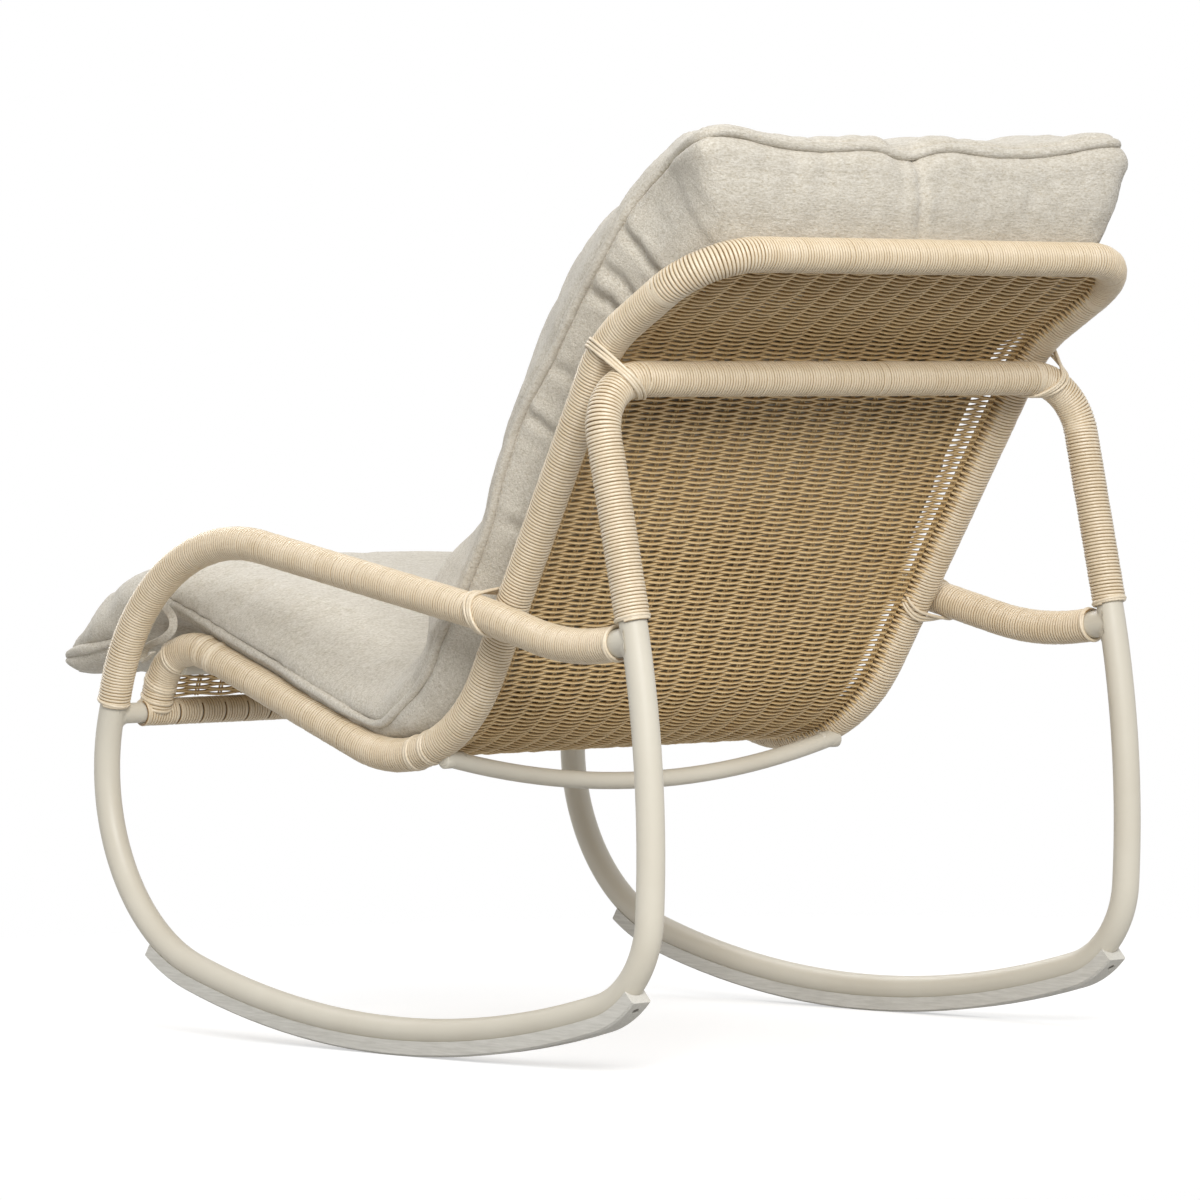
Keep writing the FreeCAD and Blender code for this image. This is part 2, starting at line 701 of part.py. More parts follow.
seat_middle = centre_edges[2].valueAt(
    (centre_edges[2].FirstParameter + centre_edges[2].LastParameter) / 2).y
front_box = Part.makeBox(2 * deep, deep, deep, V(-deep, seat_middle - deep, 0))
fields = {
    "front_weave": panel.common(front_box).cut(seat_block),
    "seat_weave": panel.common(seat_block).cut(back_block),
    "back_weave": panel.common(back_block).cut(head_block),
    "head_weave": panel.common(head_block),
}
for name, shape in fields.items():
    field = line_object(name + "_field", largest(shape))
    node(name, field)

# Cushion: one soft pad folded at the hip. Its seam line runs round the edge at half height.

seam_peak = step(knuckle, -size("cushion_peak_forward"), size("cushion_peak_rise"))
seam_points = [place(0, *point) for point in (
    step(seam_peak, -size("cushion_front_reach"), -size("cushion_front_fall")),
    seam_peak,
    step(hip, size("cushion_hip_back"), size("cushion_hip_rise")),
    step(hip, size("cushion_back_run"), size("cushion_back_rise")),
    step(head, size("cushion_head_back"), size("cushion_head_rise")),
    step(top, -size("cushion_top_forward"), size("cushion_top_rise")),
)]
seam_radii = [size("cushion_peak_radius"), size("cushion_hip_radius"),
              size("cushion_back_radius"), size("cushion_head_radius")]
seam_edges = bent_edges(seam_points, seam_radii)
bed = Part.Wire(panel_wire(half_weave + size("cushion_gap")))


def room_below(point, normal, limit):
    """Depth down to the woven panel, at most limit."""
    probe = Part.LineSegment(point, point - normal * limit).toShape()
    gap, pairs, _ = probe.distToShape(bed)
    if gap > size("cushion_gap"):
        return limit
    return min((point - pair[0]).Length for pair in pairs)


def cushion_section(edge, fraction, half, crown, limit):
    span = edge.FirstParameter + (edge.LastParameter - edge.FirstParameter) * fraction
    point = edge.valueAt(span)
    heading = edge.tangentAt(span)
    normal = V(0, -heading.z, heading.y)
    belly = room_below(point, normal, limit)
    roll = min(size("crown_roll"), half / 2)
    under = size("belly_roll")

    def at(u, h):
        return V(u, 0, 0) + point + normal * h

    bulge = V(belly, -under, 0).normalize() * (belly * size("side_bulge"))
    low_u = half - under / 2 + bulge.x
    low_h = -belly / 2 + bulge.y
    high_u = half - roll * size("shoulder_inset")
    shoulder = size("shoulder_share") * crown
    return Part.Wire([
        Part.Arc(at(half, 0), at(high_u, crown / 2), at(half - roll, shoulder)).toShape(),
        Part.Arc(at(half - roll, shoulder), at(0, crown), at(roll - half, shoulder)).toShape(),
        Part.Arc(at(roll - half, shoulder), at(-high_u, crown / 2), at(-half, 0)).toShape(),
        Part.Arc(at(-half, 0), at(-low_u, low_h), at(under - half, -belly)).toShape(),
        Part.LineSegment(at(under - half, -belly), at(half - under, -belly)).toShape(),
        Part.Arc(at(half - under, -belly), at(low_u, low_h), at(half, 0)).toShape(),
    ])


full = size("rail_top_half") - size("cushion_inset")
drawn = full - size("cushion_corner")
edge_limit = size("cushion_edge")
stations = [
    (0, 0.0, drawn, edge_limit, edge_limit),
    (0, 0.45, full, size("front_crown"), size("front_belly")),
    (1, 0.5, full, size("front_crown"), size("seat_belly")),
    (2, 0.12, full, size("seat_crown"), size("seat_belly")),
    (2, 0.6, full, size("seat_crown"), size("seat_belly")),
    (3, 0.1, full, size("hip_crown"), size("seat_belly")),
    (3, 0.55, full, size("back_crown"), size("back_belly") / 2),
    (4, 0.0, full, size("back_crown"), size("back_belly")),
    (4, 0.6, full, size("neck_crown"), size("back_belly")),
    (5, 0.6, full, size("neck_crown"), size("back_belly")),
    (6, 0.6, full, size("head_crown"), size("head_belly")),
    (8, 0.45, full, size("top_crown"), size("top_belly")),
    (8, 1.0, drawn, edge_limit, edge_limit),
]
sections = []
for number, (index, fraction, half, crown, limit) in enumerate(stations):
    section = line_object(f"cushion_section_{number}",
                          cushion_section(seam_edges[index], fraction, half, crown, limit))
    sections.append(section)
pad = doc.addObject("Part::Loft", "cushion_pad")
pad.Sections = sections
pad.Solid = True
pad.Ruled = False
doc.recompute()

# The pad rests on the weave and between the wound rails.

bed_edges = panel_wire(half_weave + size("cushion_gap"))
bed_front = bed_edges[0].Vertexes[0].Point
bed_rear = bed_edges[-1].Vertexes[1].Point
below = [V(0, bed_front.y, 0), V(0, bed_rear.y, 0)]
bed_sides = [Part.LineSegment(bed_front, below[0]).toShape(),
             Part.LineSegment(below[0], below[1]).toShape(),
             Part.LineSegment(below[1], bed_rear).toShape()]
bed_face = Part.Face(Part.Wire(Part.__sortEdges__(bed_edges + bed_sides)))
bed_face.translate(V(-size("track_half"), 0, 0))
bed_block = line_object("cushion_bed", bed_face.extrude(V(2 * size("track_half"), 0, 0)))
rail_bed = rod("cushion_rail_bed", hoop_line, WOUND + " + Sizes.cushion_gap")

# Welt along the seam: one half on each side, from the middle of the front edge to the middle of the top.

def along(edge, fraction):
    return edge.valueAt(edge.FirstParameter + (edge.LastParameter - edge.FirstParameter) * fraction)


def aside(point, x):
    return V(x, point.y, point.z)


def welt_wire(side):
    points = [seam_points[0]] + [aside(p, side * full) for p in seam_points] + [seam_points[-1]]
    corner = size("welt_corner_radius")
    return bent_wire(points, [corner] + seam_radii + [corner])


welts = []
grooves = []
for side, name in ((1, "left"), (-1, "right")):
    welt_line = line_object(name + "_welt_line", welt_wire(side))
    welts.append(rod(name + "_welt", welt_line, "Sizes.welt_radius"))
    grooves.append(rod(name + "_welt_groove", welt_line, "Sizes.welt_radius + Sizes.welt_gap"))
node("lounge_cushion", cut("lounge_cushion", pad, bed_block, rail_bed, *grooves))
welt_group = doc.addObject("Part::Compound", "welt_group")
welt_group.Links = welts
node("cushion_welt", welt_group)

# Tie tapes: a loop and a tail hang from the seam beside each front corner.

for side, name in ((1, "left"), (-1, "right")):
    root = along(seam_edges[2], size("tie_start"))
    begin = full + size("welt_radius") + size("welt_gap")
    past_rail = size("rail_half") + wound_radius + size("tie_gap") + size("tie_radius")
    beside = side * max(past_rail, full + size("tie_out"))
    loop = [V(side * begin, root.y, root.z),
            V(beside, root.y, root.z),
            V(beside, root.y + size("tie_reach"), root.z - size("tie_reach") / 2),
            V(beside, root.y + size("tie_reach"), root.z - size("tie_loop")),
            V(beside, root.y + size("tie_reach") - size("tie_back"), root.z - size("tie_loop") - size("tie_knot")),
            V(beside, root.y + size("tie_reach") - size("tie_back"),
              root.z - size("tie_loop") - size("tie_knot") - size("tie_tail"))]
    tie_line = line_object(name + "_tie_line", bent_wire(loop, [size("tie_bend_radius")] * 4))
    node(name + "_cushion_tie", rod(name + "_tie", tie_line, "Sizes.tie_radius"))

doc.recompute()
for thing in doc.Objects:
    if "Invalid" in thing.State or "Error" in thing.State:
        raise RuntimeError(f"{thing.Name} failed: {thing.State}")
for thing in nodes:
    if thing.Shape.isNull() or not thing.Shape.isValid() or not thing.Shape.Solids:
        raise RuntimeError(f"{thing.Label} has no sound solid")

os.makedirs("parts", exist_ok=True)
for thing in nodes:
    thing.Shape.exportStep(f"parts/{thing.Label}.step")
    box = thing.Shape.BoundBox
    print(f"{thing.Label}: {len(thing.Shape.Solids)} solid, {thing.Shape.Volume / 1000:.1f} cm3, "
          f"x {box.XMin:.1f} {box.XMax:.1f}, y {box.YMin:.1f} {box.YMax:.1f}, z {box.ZMin:.1f} {box.ZMax:.1f}")
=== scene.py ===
import math

import bpy
import numpy as np
from mathutils import Matrix, Vector
from mathutils.bvhtree import BVHTree
from mathutils.kdtree import KDTree


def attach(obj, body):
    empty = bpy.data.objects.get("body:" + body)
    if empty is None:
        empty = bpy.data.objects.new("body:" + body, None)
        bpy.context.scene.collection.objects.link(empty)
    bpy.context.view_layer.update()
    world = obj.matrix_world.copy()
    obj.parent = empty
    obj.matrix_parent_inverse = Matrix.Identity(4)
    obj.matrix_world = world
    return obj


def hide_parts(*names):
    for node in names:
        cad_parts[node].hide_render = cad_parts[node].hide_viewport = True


# Outdoor rocking chair: finish of the painted tubes, wound and woven strand, glides and cushion.
# Lengths in this file are millimetres in the part's frame until a mesh is made.

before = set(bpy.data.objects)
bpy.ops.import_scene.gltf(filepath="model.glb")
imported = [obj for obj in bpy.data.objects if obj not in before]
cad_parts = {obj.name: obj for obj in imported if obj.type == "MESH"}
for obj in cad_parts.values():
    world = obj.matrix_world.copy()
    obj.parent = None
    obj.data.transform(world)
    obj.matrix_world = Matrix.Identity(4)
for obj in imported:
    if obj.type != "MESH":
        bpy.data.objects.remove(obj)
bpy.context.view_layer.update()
MM = 0.001

# Sizes of the part

LOW_Y = 90.0
TUBE = 14.0
CROSS_TUBE = 11.0
BRACE_TUBE = 9.0
KNEE_TUBE = 10.0
STRAND = 3.5
CORE = 14.2
CROSS_CORE = 11.2
TRACK = 330.0
RUNNER_Z = 24.0
RUNNER_RADIUS, REAR_RADIUS, POST_RADIUS, FRONT_RADIUS = 1217, 101, 1004, 208.5
RUNNER_REAR_ANGLE, POST_FOOT_ANGLE, POST_TOP_ANGLE = 14.46, 85.07, 101.85
RUNNER_FRONT_ANGLE, LEG_ANGLE = 16.24, 107.9
LEG_FOOT = (-480.45, 336.82)
KNUCKLE = (-448.55, 424.42)
HIP = (5.85, 261.12)
HEAD = (292.65, 712.02)
TOP = (440.05, 792.32)
RAIL_HALF, RAIL_TOP_HALF = 273.0, 297.0
BENDS = [70.0, 180.0, 140.0]
TOP_BEND = 70.0
CROSSBAR = (313.13, 675.12)
HOOP_BEND = 58.0
ARM_X = 318.36
LEG_RUN = (0.3074, 0.9516)
STAKES = 8
RAIL_MARGIN = 26.0
SIDES = ((1, "left"), (-1, "right"))


def place(x, y, z):
    return np.array([x, y + LOW_Y, z], float)


# Lines

def arc_chain(point, a0, a1, radius, way, step=1.5):
    """(y, z) points of an arc that starts at slope a0 and ends at slope a1."""
    a0, a1 = math.radians(a0), math.radians(a1)
    cy, cz = point[0] - way * radius * math.sin(a0), point[1] + radius * math.cos(a0)
    t = np.linspace(a0, a1, max(3, int(abs(a1 - a0) * radius / step)))
    return np.stack([cy + way * radius * np.sin(t), cz - radius * np.cos(t)], 1)


def bent(points, radii, step=1.5):
    """Straight runs through the points, with a tangent arc at each inner one."""
    points = [np.asarray(p, float) for p in points]
    out = [points[0]]
    for before, corner, after, radius in zip(points, points[1:], points[2:], radii):
        back = (before - corner) / np.linalg.norm(before - corner)
        ahead = (after - corner) / np.linalg.norm(after - corner)
        half = math.acos(np.clip(back @ ahead, -1, 1)) / 2
        inward = back + ahead
        inward = inward / np.linalg.norm(inward)
        centre = corner + inward * (radius / math.sin(half))
        first = corner + back * (radius / math.tan(half))
        last = corner + ahead * (radius / math.tan(half))
        x = (first - centre) / radius
        z = np.cross(x, (last - centre) / radius)
        y = np.cross(z / np.linalg.norm(z), x)
        turn = math.pi - 2 * half
        t = np.linspace(0, turn, max(4, int(turn * radius / step)))
        out += list(centre + radius * (np.cos(t)[:, None] * x + np.sin(t)[:, None] * y))
    out.append(points[-1])
    return np.array(out)


def lengths(path):
    return np.concatenate([[0], np.cumsum(np.linalg.norm(np.diff(path, axis=0), axis=1))])


def resample(path, step):
    s = lengths(path)
    n = max(2, int(round(s[-1] / step)))
    t = np.linspace(0, s[-1], n + 1)
    return np.stack([np.interp(t, s, path[:, k]) for k in range(3)], 1)


def unit(v):
    return v / np.maximum(np.linalg.norm(v, axis=-1, keepdims=True), 1e-12)


def carried_axes(path, start=None):
    """Tangents, and a pair of side axes carried along without twist."""
    tangent = unit(np.gradient(path, axis=0))
    side = np.zeros_like(path)
    guess = np.array(start if start is not None else (1.0, 0.3, 0.2))
    for i, t in enumerate(tangent):
        guess = guess - t * (guess @ t)
        guess = guess / np.linalg.norm(guess)
        side[i] = guess
    return tangent, side, np.cross(tangent, side)


def smooth_noise(rng, n, scale):
    """Random values that change over about scale samples."""
    knots = rng.normal(size=int(n / scale) + 4)
    return np.interp(np.arange(n) / scale, np.arange(len(knots)), knots)


# Meshes

class Quads:
    """Collects grids of points as quads for one mesh, with a painted shade per point: 1 on a crest, 0 where
    shade falls between strands.
    """

    def __init__(self):
        self.points, self.faces, self.shades, self.count = [], [], [], 0

    def grid(self, g, close_u=False, close_v=False, shade=1.0):
        r, c = g.shape[:2]
        ids = np.arange(r * c).reshape(r, c) + self.count
        if close_u:
            ids = np.vstack([ids, ids[:1]])
        if close_v:
            ids = np.hstack([ids, ids[:, :1]])
        quads = np.stack([ids[:-1, :-1], ids[:-1, 1:], ids[1:, 1:], ids[1:, :-1]], -1).reshape(-1, 4)
        self.points.append(g.reshape(-1, 3))
        self.faces.append(quads)
        self.shades.append(np.broadcast_to(shade, (r, c)).reshape(-1))
        self.count += r * c

    def tube(self, path, radius, sides=8, start=None, closed=False):
        """Round bar along a path; radius is one number or one per point."""
        _, a, b = carried_axes(path, start)
        t = np.arange(sides) * 2 * math.pi / sides
        radius = np.broadcast_to(np.asarray(radius, float), (len(path),))
        ring = np.cos(t)[None, :, None] * a[:, None] + np.sin(t)[None, :, None] * b[:, None]
        g = path[:, None] + ring * radius[:, None, None]
        if not closed:
            g = np.concatenate([np.repeat(path[:1, None], sides, 1), g,
                                np.repeat(path[-1:, None], sides, 1)])
        self.grid(g, close_u=closed, close_v=True)

    def build(self, name, material, body, replaces=()):
        mesh = bpy.data.meshes.new(name)
        mesh.from_pydata(np.concatenate(self.points) * MM, [], np.concatenate(self.faces))
        # Painted shade per point, which the strand material uses to darken the hollows between strands.
        shade = mesh.attributes.new("painted_groove_shade", "FLOAT", "POINT")
        shade.data.foreach_set("value", np.concatenate(self.shades).astype(np.float32))
        mesh.polygons.foreach_set("use_smooth", [True] * len(mesh.polygons))
        mesh.update()
        return dress(bpy.data.objects.new(name, mesh), material, body, replaces)


def dress(piece, material, body, replaces=()):
    if piece.name not in bpy.context.scene.collection.objects:
        bpy.context.scene.collection.objects.link(piece)
    piece.data.materials.clear()
    piece.data.materials.append(material)
    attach(piece, body)
    if replaces:
        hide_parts(*replaces)
    return piece


# Materials

def linear(r, g, b):
    def one(v):
        v /= 255
        return v / 12.92 if v <= 0.04045 else ((v + 0.055) / 1.055) ** 2.4
    return (one(r), one(g), one(b), 1.0)


class Shade:
    """A material with one Principled shader and short calls for its nodes."""

    def __init__(self, name, roughness, specular=0.5, **sockets):
        self.material = bpy.data.materials.new(name)
        self.material.use_nodes = True
        self.tree = self.material.node_tree
        self.shader = self.tree.nodes["Principled BSDF"]
        self.shader.inputs["Roughness"].default_value = roughness
        self.shader.inputs["Specular IOR Level"].default_value = specular
        for socket, value in sockets.items():
            self.shader.inputs[socket.replace("_", " ")].default_value = value
        self.coords = self.node("ShaderNodeTexCoord").outputs["Object"]

    def node(self, kind, **values):
        n = self.tree.nodes.new(kind)
        for key, value in values.items():
            if key in n.inputs:
                n.inputs[key].default_value = value
            else:
                setattr(n, key, value)
        return n

    def link(self, a, b):
        self.tree.links.new(a, b)

    def stretched(self, x, y, z):
        m = self.node("ShaderNodeMapping")
        m.inputs["Scale"].default_value = (x, y, z)
        self.link(self.coords, m.inputs["Vector"])
        return m.outputs["Vector"]

    def noise(self, scale, detail=3.0, vector=None, roughness=0.55):
        n = self.node("ShaderNodeTexNoise", Scale=scale, Detail=detail, Roughness=roughness)
        self.link(vector or self.coords, n.inputs["Vector"])
        return n.outputs["Fac"]

    def ramp(self, factor, stops):
        r = self.node("ShaderNodeValToRGB")
        while len(r.color_ramp.elements) < len(stops):
            r.color_ramp.elements.new(0.5)
        for e, (at, colour) in zip(r.color_ramp.elements, stops):
            e.position, e.color = at, colour
        self.link(factor, r.inputs["Fac"])
        return r.outputs["Color"]

    def mix(self, factor, a, b, how="MIX"):
        m = self.node("ShaderNodeMix", data_type="RGBA", blend_type=how)
        for value, socket in ((factor, m.inputs[0]), (a, m.inputs[6]), (b, m.inputs[7])):
            if isinstance(value, bpy.types.NodeSocket):
                self.link(value, socket)
            else:
                socket.default_value = value
        return m.outputs[2]

    def math(self, how, a, b):
        m = self.node("ShaderNodeMath", operation=how)
        for value, socket in ((a, m.inputs[0]), (b, m.inputs[1])):
            if isinstance(value, bpy.types.NodeSocket):
                self.link(value, socket)
            else:
                socket.default_value = value
        return m.outputs[0]

    def spread(self, factor, low, high):
        m = self.node("ShaderNodeMapRange")
        self.link(factor, m.inputs["Value"])
        m.inputs["To Min"].default_value, m.inputs["To Max"].default_value = low, high
        return m.outputs["Result"]

    def colour(self, socket):
        self.link(socket, self.shader.inputs["Base Color"])

    def roughness(self, socket):
        self.link(socket, self.shader.inputs["Roughness"])

    def bump(self, height, strength, distance):
        b = self.node("ShaderNodeBump")
        b.inputs["Strength"].default_value = strength
        b.inputs["Distance"].default_value = distance
        self.link(height, b.inputs["Height"])
        self.link(b.outputs["Normal"], self.shader.inputs["Normal"])


def paint_material():
    """Cream powder coat: faint mottling and a fine orange peel."""
    m = Shade("cream_powder_coat", 0.42, 0.45)
    m.colour(m.ramp(m.noise(9, 4), [(0.3, linear(205, 198, 182)), (0.7, linear(212, 206, 191))]))
    m.roughness(m.spread(m.noise(60, 2), 0.36, 0.5))
    m.bump(m.noise(1500, 2), 0.12, 0.0004)
    return m.material


def strand_material(name, dark, light, painted_shade_colour):
    """Extruded round strand: satin, its colour drifting from turn to turn, darkened by painted shade between
    turns.
    """
    m = Shade(name, 0.38, 0.6, Coat_Weight=0.12, Coat_Roughness=0.3)
    drift = m.mix(0.5, m.noise(38, 3), m.noise(430, 2))
    base = m.ramp(drift, [(0.34, dark), (0.66, light)])
    # Painted shade: the base colour is multiplied down towards the painted shade colour where strands meet,
    # and kept full on the crests.
    painted_groove_shade = m.node("ShaderNodeAttribute", attribute_name="painted_groove_shade").outputs["Fac"]
    tone = m.ramp(painted_groove_shade, [(0.0, painted_shade_colour), (0.55, linear(222, 209, 186)), (1.0, (1, 1, 1, 1))])
    m.colour(m.mix(1.0, base, tone, "MULTIPLY"))
    m.roughness(m.spread(m.noise(220, 2), 0.3, 0.5))
    m.bump(m.noise(2400, 2), 0.15, 0.0003)
    return m.material


def fabric_material():
    """Oatmeal chenille: threads across the chair, slubs, flecks and a soft nap."""
    m = Shade("oatmeal_chenille", 0.95, 0.15, Sheen_Weight=0.25, Sheen_Roughness=0.6)
    threads = m.noise(1.0, 3, m.stretched(260, 640, 640), 0.62)
    slubs = m.noise(1.0, 2, m.stretched(60, 330, 330), 0.5)
    nap = m.noise(950, 2)
    wide = m.noise(7, 2)
    tone = m.mix(0.3, threads, slubs)
    base = m.ramp(tone, [(0.3, linear(174, 165, 146)), (0.5, linear(207, 200, 186)),
                         (0.7, linear(231, 226, 215))])
    flecks = m.noise(1.0, 2, m.stretched(210, 520, 520))
    flecks = m.ramp(flecks, [(0.6, (1, 1, 1, 1)), (0.72, linear(222, 208, 180))])
    base = m.mix(0.45, base, flecks, "MULTIPLY")
    base = m.mix(m.spread(wide, 0.0, 0.2), base, linear(198, 189, 171))
    m.colour(base)
    height = m.math("ADD", m.math("MULTIPLY", threads, 0.9), m.math("MULTIPLY", nap, 0.4))
    height = m.math("ADD", height, m.math("MULTIPLY", slubs, 0.6))
    m.bump(height, 0.5, 0.002)
    return m.material


def glide_material():
    """Pale moulded plastic with a fine grain and scuffs along its foot."""
    m = Shade("glide_plastic", 0.5, 0.4)
    scuffs = m.noise(1.0, 3, m.stretched(600, 40, 600))
    m.colour(m.ramp(scuffs, [(0.35, linear(196, 193, 184)), (0.7, linear(214, 211, 203))]))
    m.roughness(m.spread(scuffs, 0.42, 0.62))
    m.bump(m.noise(900, 3), 0.15, 0.0004)
    return m.material


def screw_material():
    """Plain steel, a little dulled."""
    m = Shade("screw_steel", 0.35, 0.5, Metallic=1.0)
    m.colour(m.ramp(m.noise(500, 3), [(0.3, linear(120, 118, 112)), (0.7, linear(165, 162, 155))]))
    m.roughness(m.spread(m.noise(900, 2), 0.28, 0.5))
    return m.material


PAINT = paint_material()
# The third colour of each strand is the painted shade in the hollows between turns and rows.
WOUND = strand_material("wound_strand", linear(216, 199, 170), linear(232, 218, 194), linear(142, 114, 78))
WOVEN = strand_material("woven_strand", linear(228, 200, 149), linear(244, 221, 175), linear(112, 84, 48))
FABRIC = fabric_material()
GLIDE = glide_material()
SCREW = screw_material()

# Painted tubes

runner_rear = arc_chain((0, RUNNER_Z), 0, RUNNER_REAR_ANGLE, RUNNER_RADIUS, 1, 4)
rear_bend = arc_chain(runner_rear[-1], RUNNER_REAR_ANGLE, POST_FOOT_ANGLE, REAR_RADIUS, 1)
post = arc_chain(rear_bend[-1], POST_FOOT_ANGLE, POST_TOP_ANGLE, POST_RADIUS, 1, 4)
runner_front = arc_chain((0, RUNNER_Z), 0, RUNNER_FRONT_ANGLE, RUNNER_RADIUS, -1, 4)
front_bend = arc_chain(runner_front[-1], RUNNER_FRONT_ANGLE, LEG_ANGLE, FRONT_RADIUS, -1)
rocker_yz = np.concatenate([post[::-1], rear_bend[::-1][1:], runner_rear[::-1][1:], runner_front[1:],
                            front_bend[1:]])
leg_foot = rocker_yz[-1]


def up_leg(d):
    return leg_foot[0] + LEG_RUN[0] * d, leg_foot[1] + LEG_RUN[1] * d


rocker_yz = np.vstack([rocker_yz, up_leg(26)])
post_top = tuple(post[-1])


def side_path(side, yz):
    return np.array([place(side * TRACK, y, z) for y, z in yz])


def cross_path(y, z, half):
    return resample(np.array([place(-half, y, z), place(half, y, z)]), 8)


for side, name in SIDES:
    tube = Quads()
    tube.tube(resample(side_path(side, rocker_yz), 5), TUBE, 36, (side, 0, 0))
    tube.build(name + "_rocker", PAINT, "frame", [name + "_rocker_tube"])

finish_of = {"left_runner_glide": GLIDE, "right_runner_glide": GLIDE, "glide_screws": SCREW}
for node in ("front_cross_tube", "knee_cross_tube", "seat_brace_tube", "seat_hoop_tube", "rear_hoop_tube",
             "left_arm_tube", "right_arm_tube", *finish_of):
    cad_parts[node].data.materials.clear()
    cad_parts[node].data.materials.append(finish_of.get(node, PAINT))

# Wound strand

TURN_STEPS = 20
# Painted shade across the strand's profile: full colour on the crest, dark on the sides where neighbouring
# turns meet.
PROFILE = np.radians([-106, -72, -46, -18, 18, 46, 72, 106])
PROFILE_SHADE = np.array([0, 0.06, 0.7, 1, 1, 0.7, 0.06, 0])


def wind(quads, path, seed, core=CORE, way=1):
    """Round strand wound turn beside turn on a bar; only the part that can be seen is made.

    Where a bend spreads the turns they lie a little flatter.
    """
    rng = np.random.default_rng(seed)
    path = resample(path, 1.0)
    tangent, a, b = carried_axes(path)
    s = lengths(path)
    turns = s[-1] / STRAND
    n = int(turns * TURN_STEPS) + 1
    phi = way * np.arange(n) * 2 * math.pi / TURN_STEPS
    at = np.arange(n) / TURN_STEPS * STRAND
    at = at + 0.11 * smooth_noise(rng, n, TURN_STEPS * 1.3)
    at = np.clip(at, 0, s[-1])

    def along(v):
        return np.stack([np.interp(at, s, v[:, k]) for k in range(3)], 1)

    out = unit(np.cos(phi)[:, None] * along(a) + np.sin(phi)[:, None] * along(b))
    forward = unit(along(tangent))
    lift = core + STRAND / 2 + 0.12 * smooth_noise(rng, n, TURN_STEPS * 0.9)
    centre = along(path) + out * lift[:, None]
    apart = np.linalg.norm(centre[TURN_STEPS:] - centre[:-TURN_STEPS], axis=1) / STRAND
    flat = np.clip(np.concatenate([apart, apart[-TURN_STEPS:]]), 1, 1.16)[:, None, None]
    skin = (np.cos(PROFILE)[None, :, None] * out[:, None]
            + flat * np.sin(PROFILE)[None, :, None] * forward[:, None])
    g = centre[:, None] + STRAND / 2 * 1.04 * skin
    # The profile carries painted shade, darkening each turn towards its sides.
    quads.grid(g, shade=PROFILE_SHADE)
    for end in (2, len(path) - 3):
        end_ring(quads, path, end, 0.05, core=core)


def end_ring(quads, path, at, lift, lean=0.0, core=CORE):
    """A last turn laid over the winding, a little askew."""
    path = resample(path, 1.0)
    tangent, a, b = carried_axes(path, (0, 0, 1.0))
    i = int(np.clip(at, 1, len(path) - 2))
    t = np.arange(48) * 2 * math.pi / 48
    radius = core + STRAND / 2 + lift
    ring = path[i] + radius * (np.cos(t)[:, None] * a[i] + np.sin(t)[:, None] * b[i])
    ring = ring + tangent[i] * (lean * np.cos(t))[:, None]
    quads.tube(ring, STRAND / 2, 8, closed=True)


def rail_line(side):
    low, high = side * RAIL_HALF, side * RAIL_TOP_HALF
    return [place(low, *LEG_FOOT), place(low, *KNUCKLE), place(low, *HIP), place(high, *HEAD),
            place(high, *TOP)]


def hoop_line(side):
    return bent([place(side * TRACK, *post_top), place(side * TRACK, *CROSSBAR), place(0, *CROSSBAR)],
                [HOOP_BEND])


def trimmed(path, head, tail):
    """The path without its first head and last tail millimetres."""
    path = resample(path, 1.0)
    return path[int(round(head)):len(path) - int(round(tail))]


arm_corner = up_leg(225.4)
ARM_CROSS = (HIP[0] + 117.3, HIP[1] + 185.4)
ARM_DIP = (ARM_CROSS[0] + 140.2, ARM_CROSS[1] - 35.7)
ARM_END = (366.09, ARM_DIP[1] + 10.7)


def arm_line(side):
    return bent([place(side * TRACK, *up_leg(11.4)), place(side * TRACK, *arm_corner),
                 place(side * ARM_X, *ARM_CROSS), place(side * (ARM_X + TRACK) / 2, *ARM_DIP),
                 place(side * TRACK, *ARM_END)], [218, 500, 330])


# Turns laid over the rail winding, where the strand starts anew at the front bend and at the brace:
# place along the rail, height over the winding, slant.
RAISED = [(12, 0.8, 1.6), (28, 1.0, 2.0), (32, 0.9, 2.2), (68, 1.2, 2.4), (72, 1.0, 2.0), (124, 1.4, 2.6),
          (128, 1.3, 2.2), (144, 1.4, 2.8), (148, 1.1, 2.0), (492, 0.8, 2.0), (496, 1.0, 1.2),
          (517, 0.9, 2.2), (521, 0.7, 1.8)]

for side, name in SIDES:
    arm = trimmed(arm_line(side), 0, 26)
    strands = Quads()
    wind(strands, arm, 11 + side, way=side)
    end_ring(strands, arm, len(arm) - 4, 1.0, side * 2.0)
    end_ring(strands, arm, 3, 0.7, 1.0)
    strands.build(name + "_arm_winding", WOUND, "frame", [name + "_arm_wrap"])

    rail = trimmed(bent(rail_line(side), BENDS), 4, TOP_BEND)
    strands = Quads()
    wind(strands, rail, 21 + side, way=-side)
    end_ring(strands, rail, 4, 0.8, 1.5)
    for at, lift, lean in RAISED:
        end_ring(strands, rail, at, lift, lean * side)
    strands.build(name + "_rail_winding", WOUND, "frame", [name + "_rail_wrap"])

    hoop = hoop_line(side)
    low = hoop[0] + (hoop[0] - hoop[1]) / np.linalg.norm(hoop[0] - hoop[1]) * 4
    hoop = resample(np.vstack([low, hoop[1:]]), 1.0)
    keep = np.abs(hoop[:, 0]) >= TRACK - HOOP_BEND - 0.6
    strands = Quads()
    wind(strands, hoop[keep], 31 + side, way=side)
    end_ring(strands, hoop[keep], 3, 0.9, 1.2)
    strands.build(name + "_post_winding", WOUND, "frame", [name + "_post_wrap"])

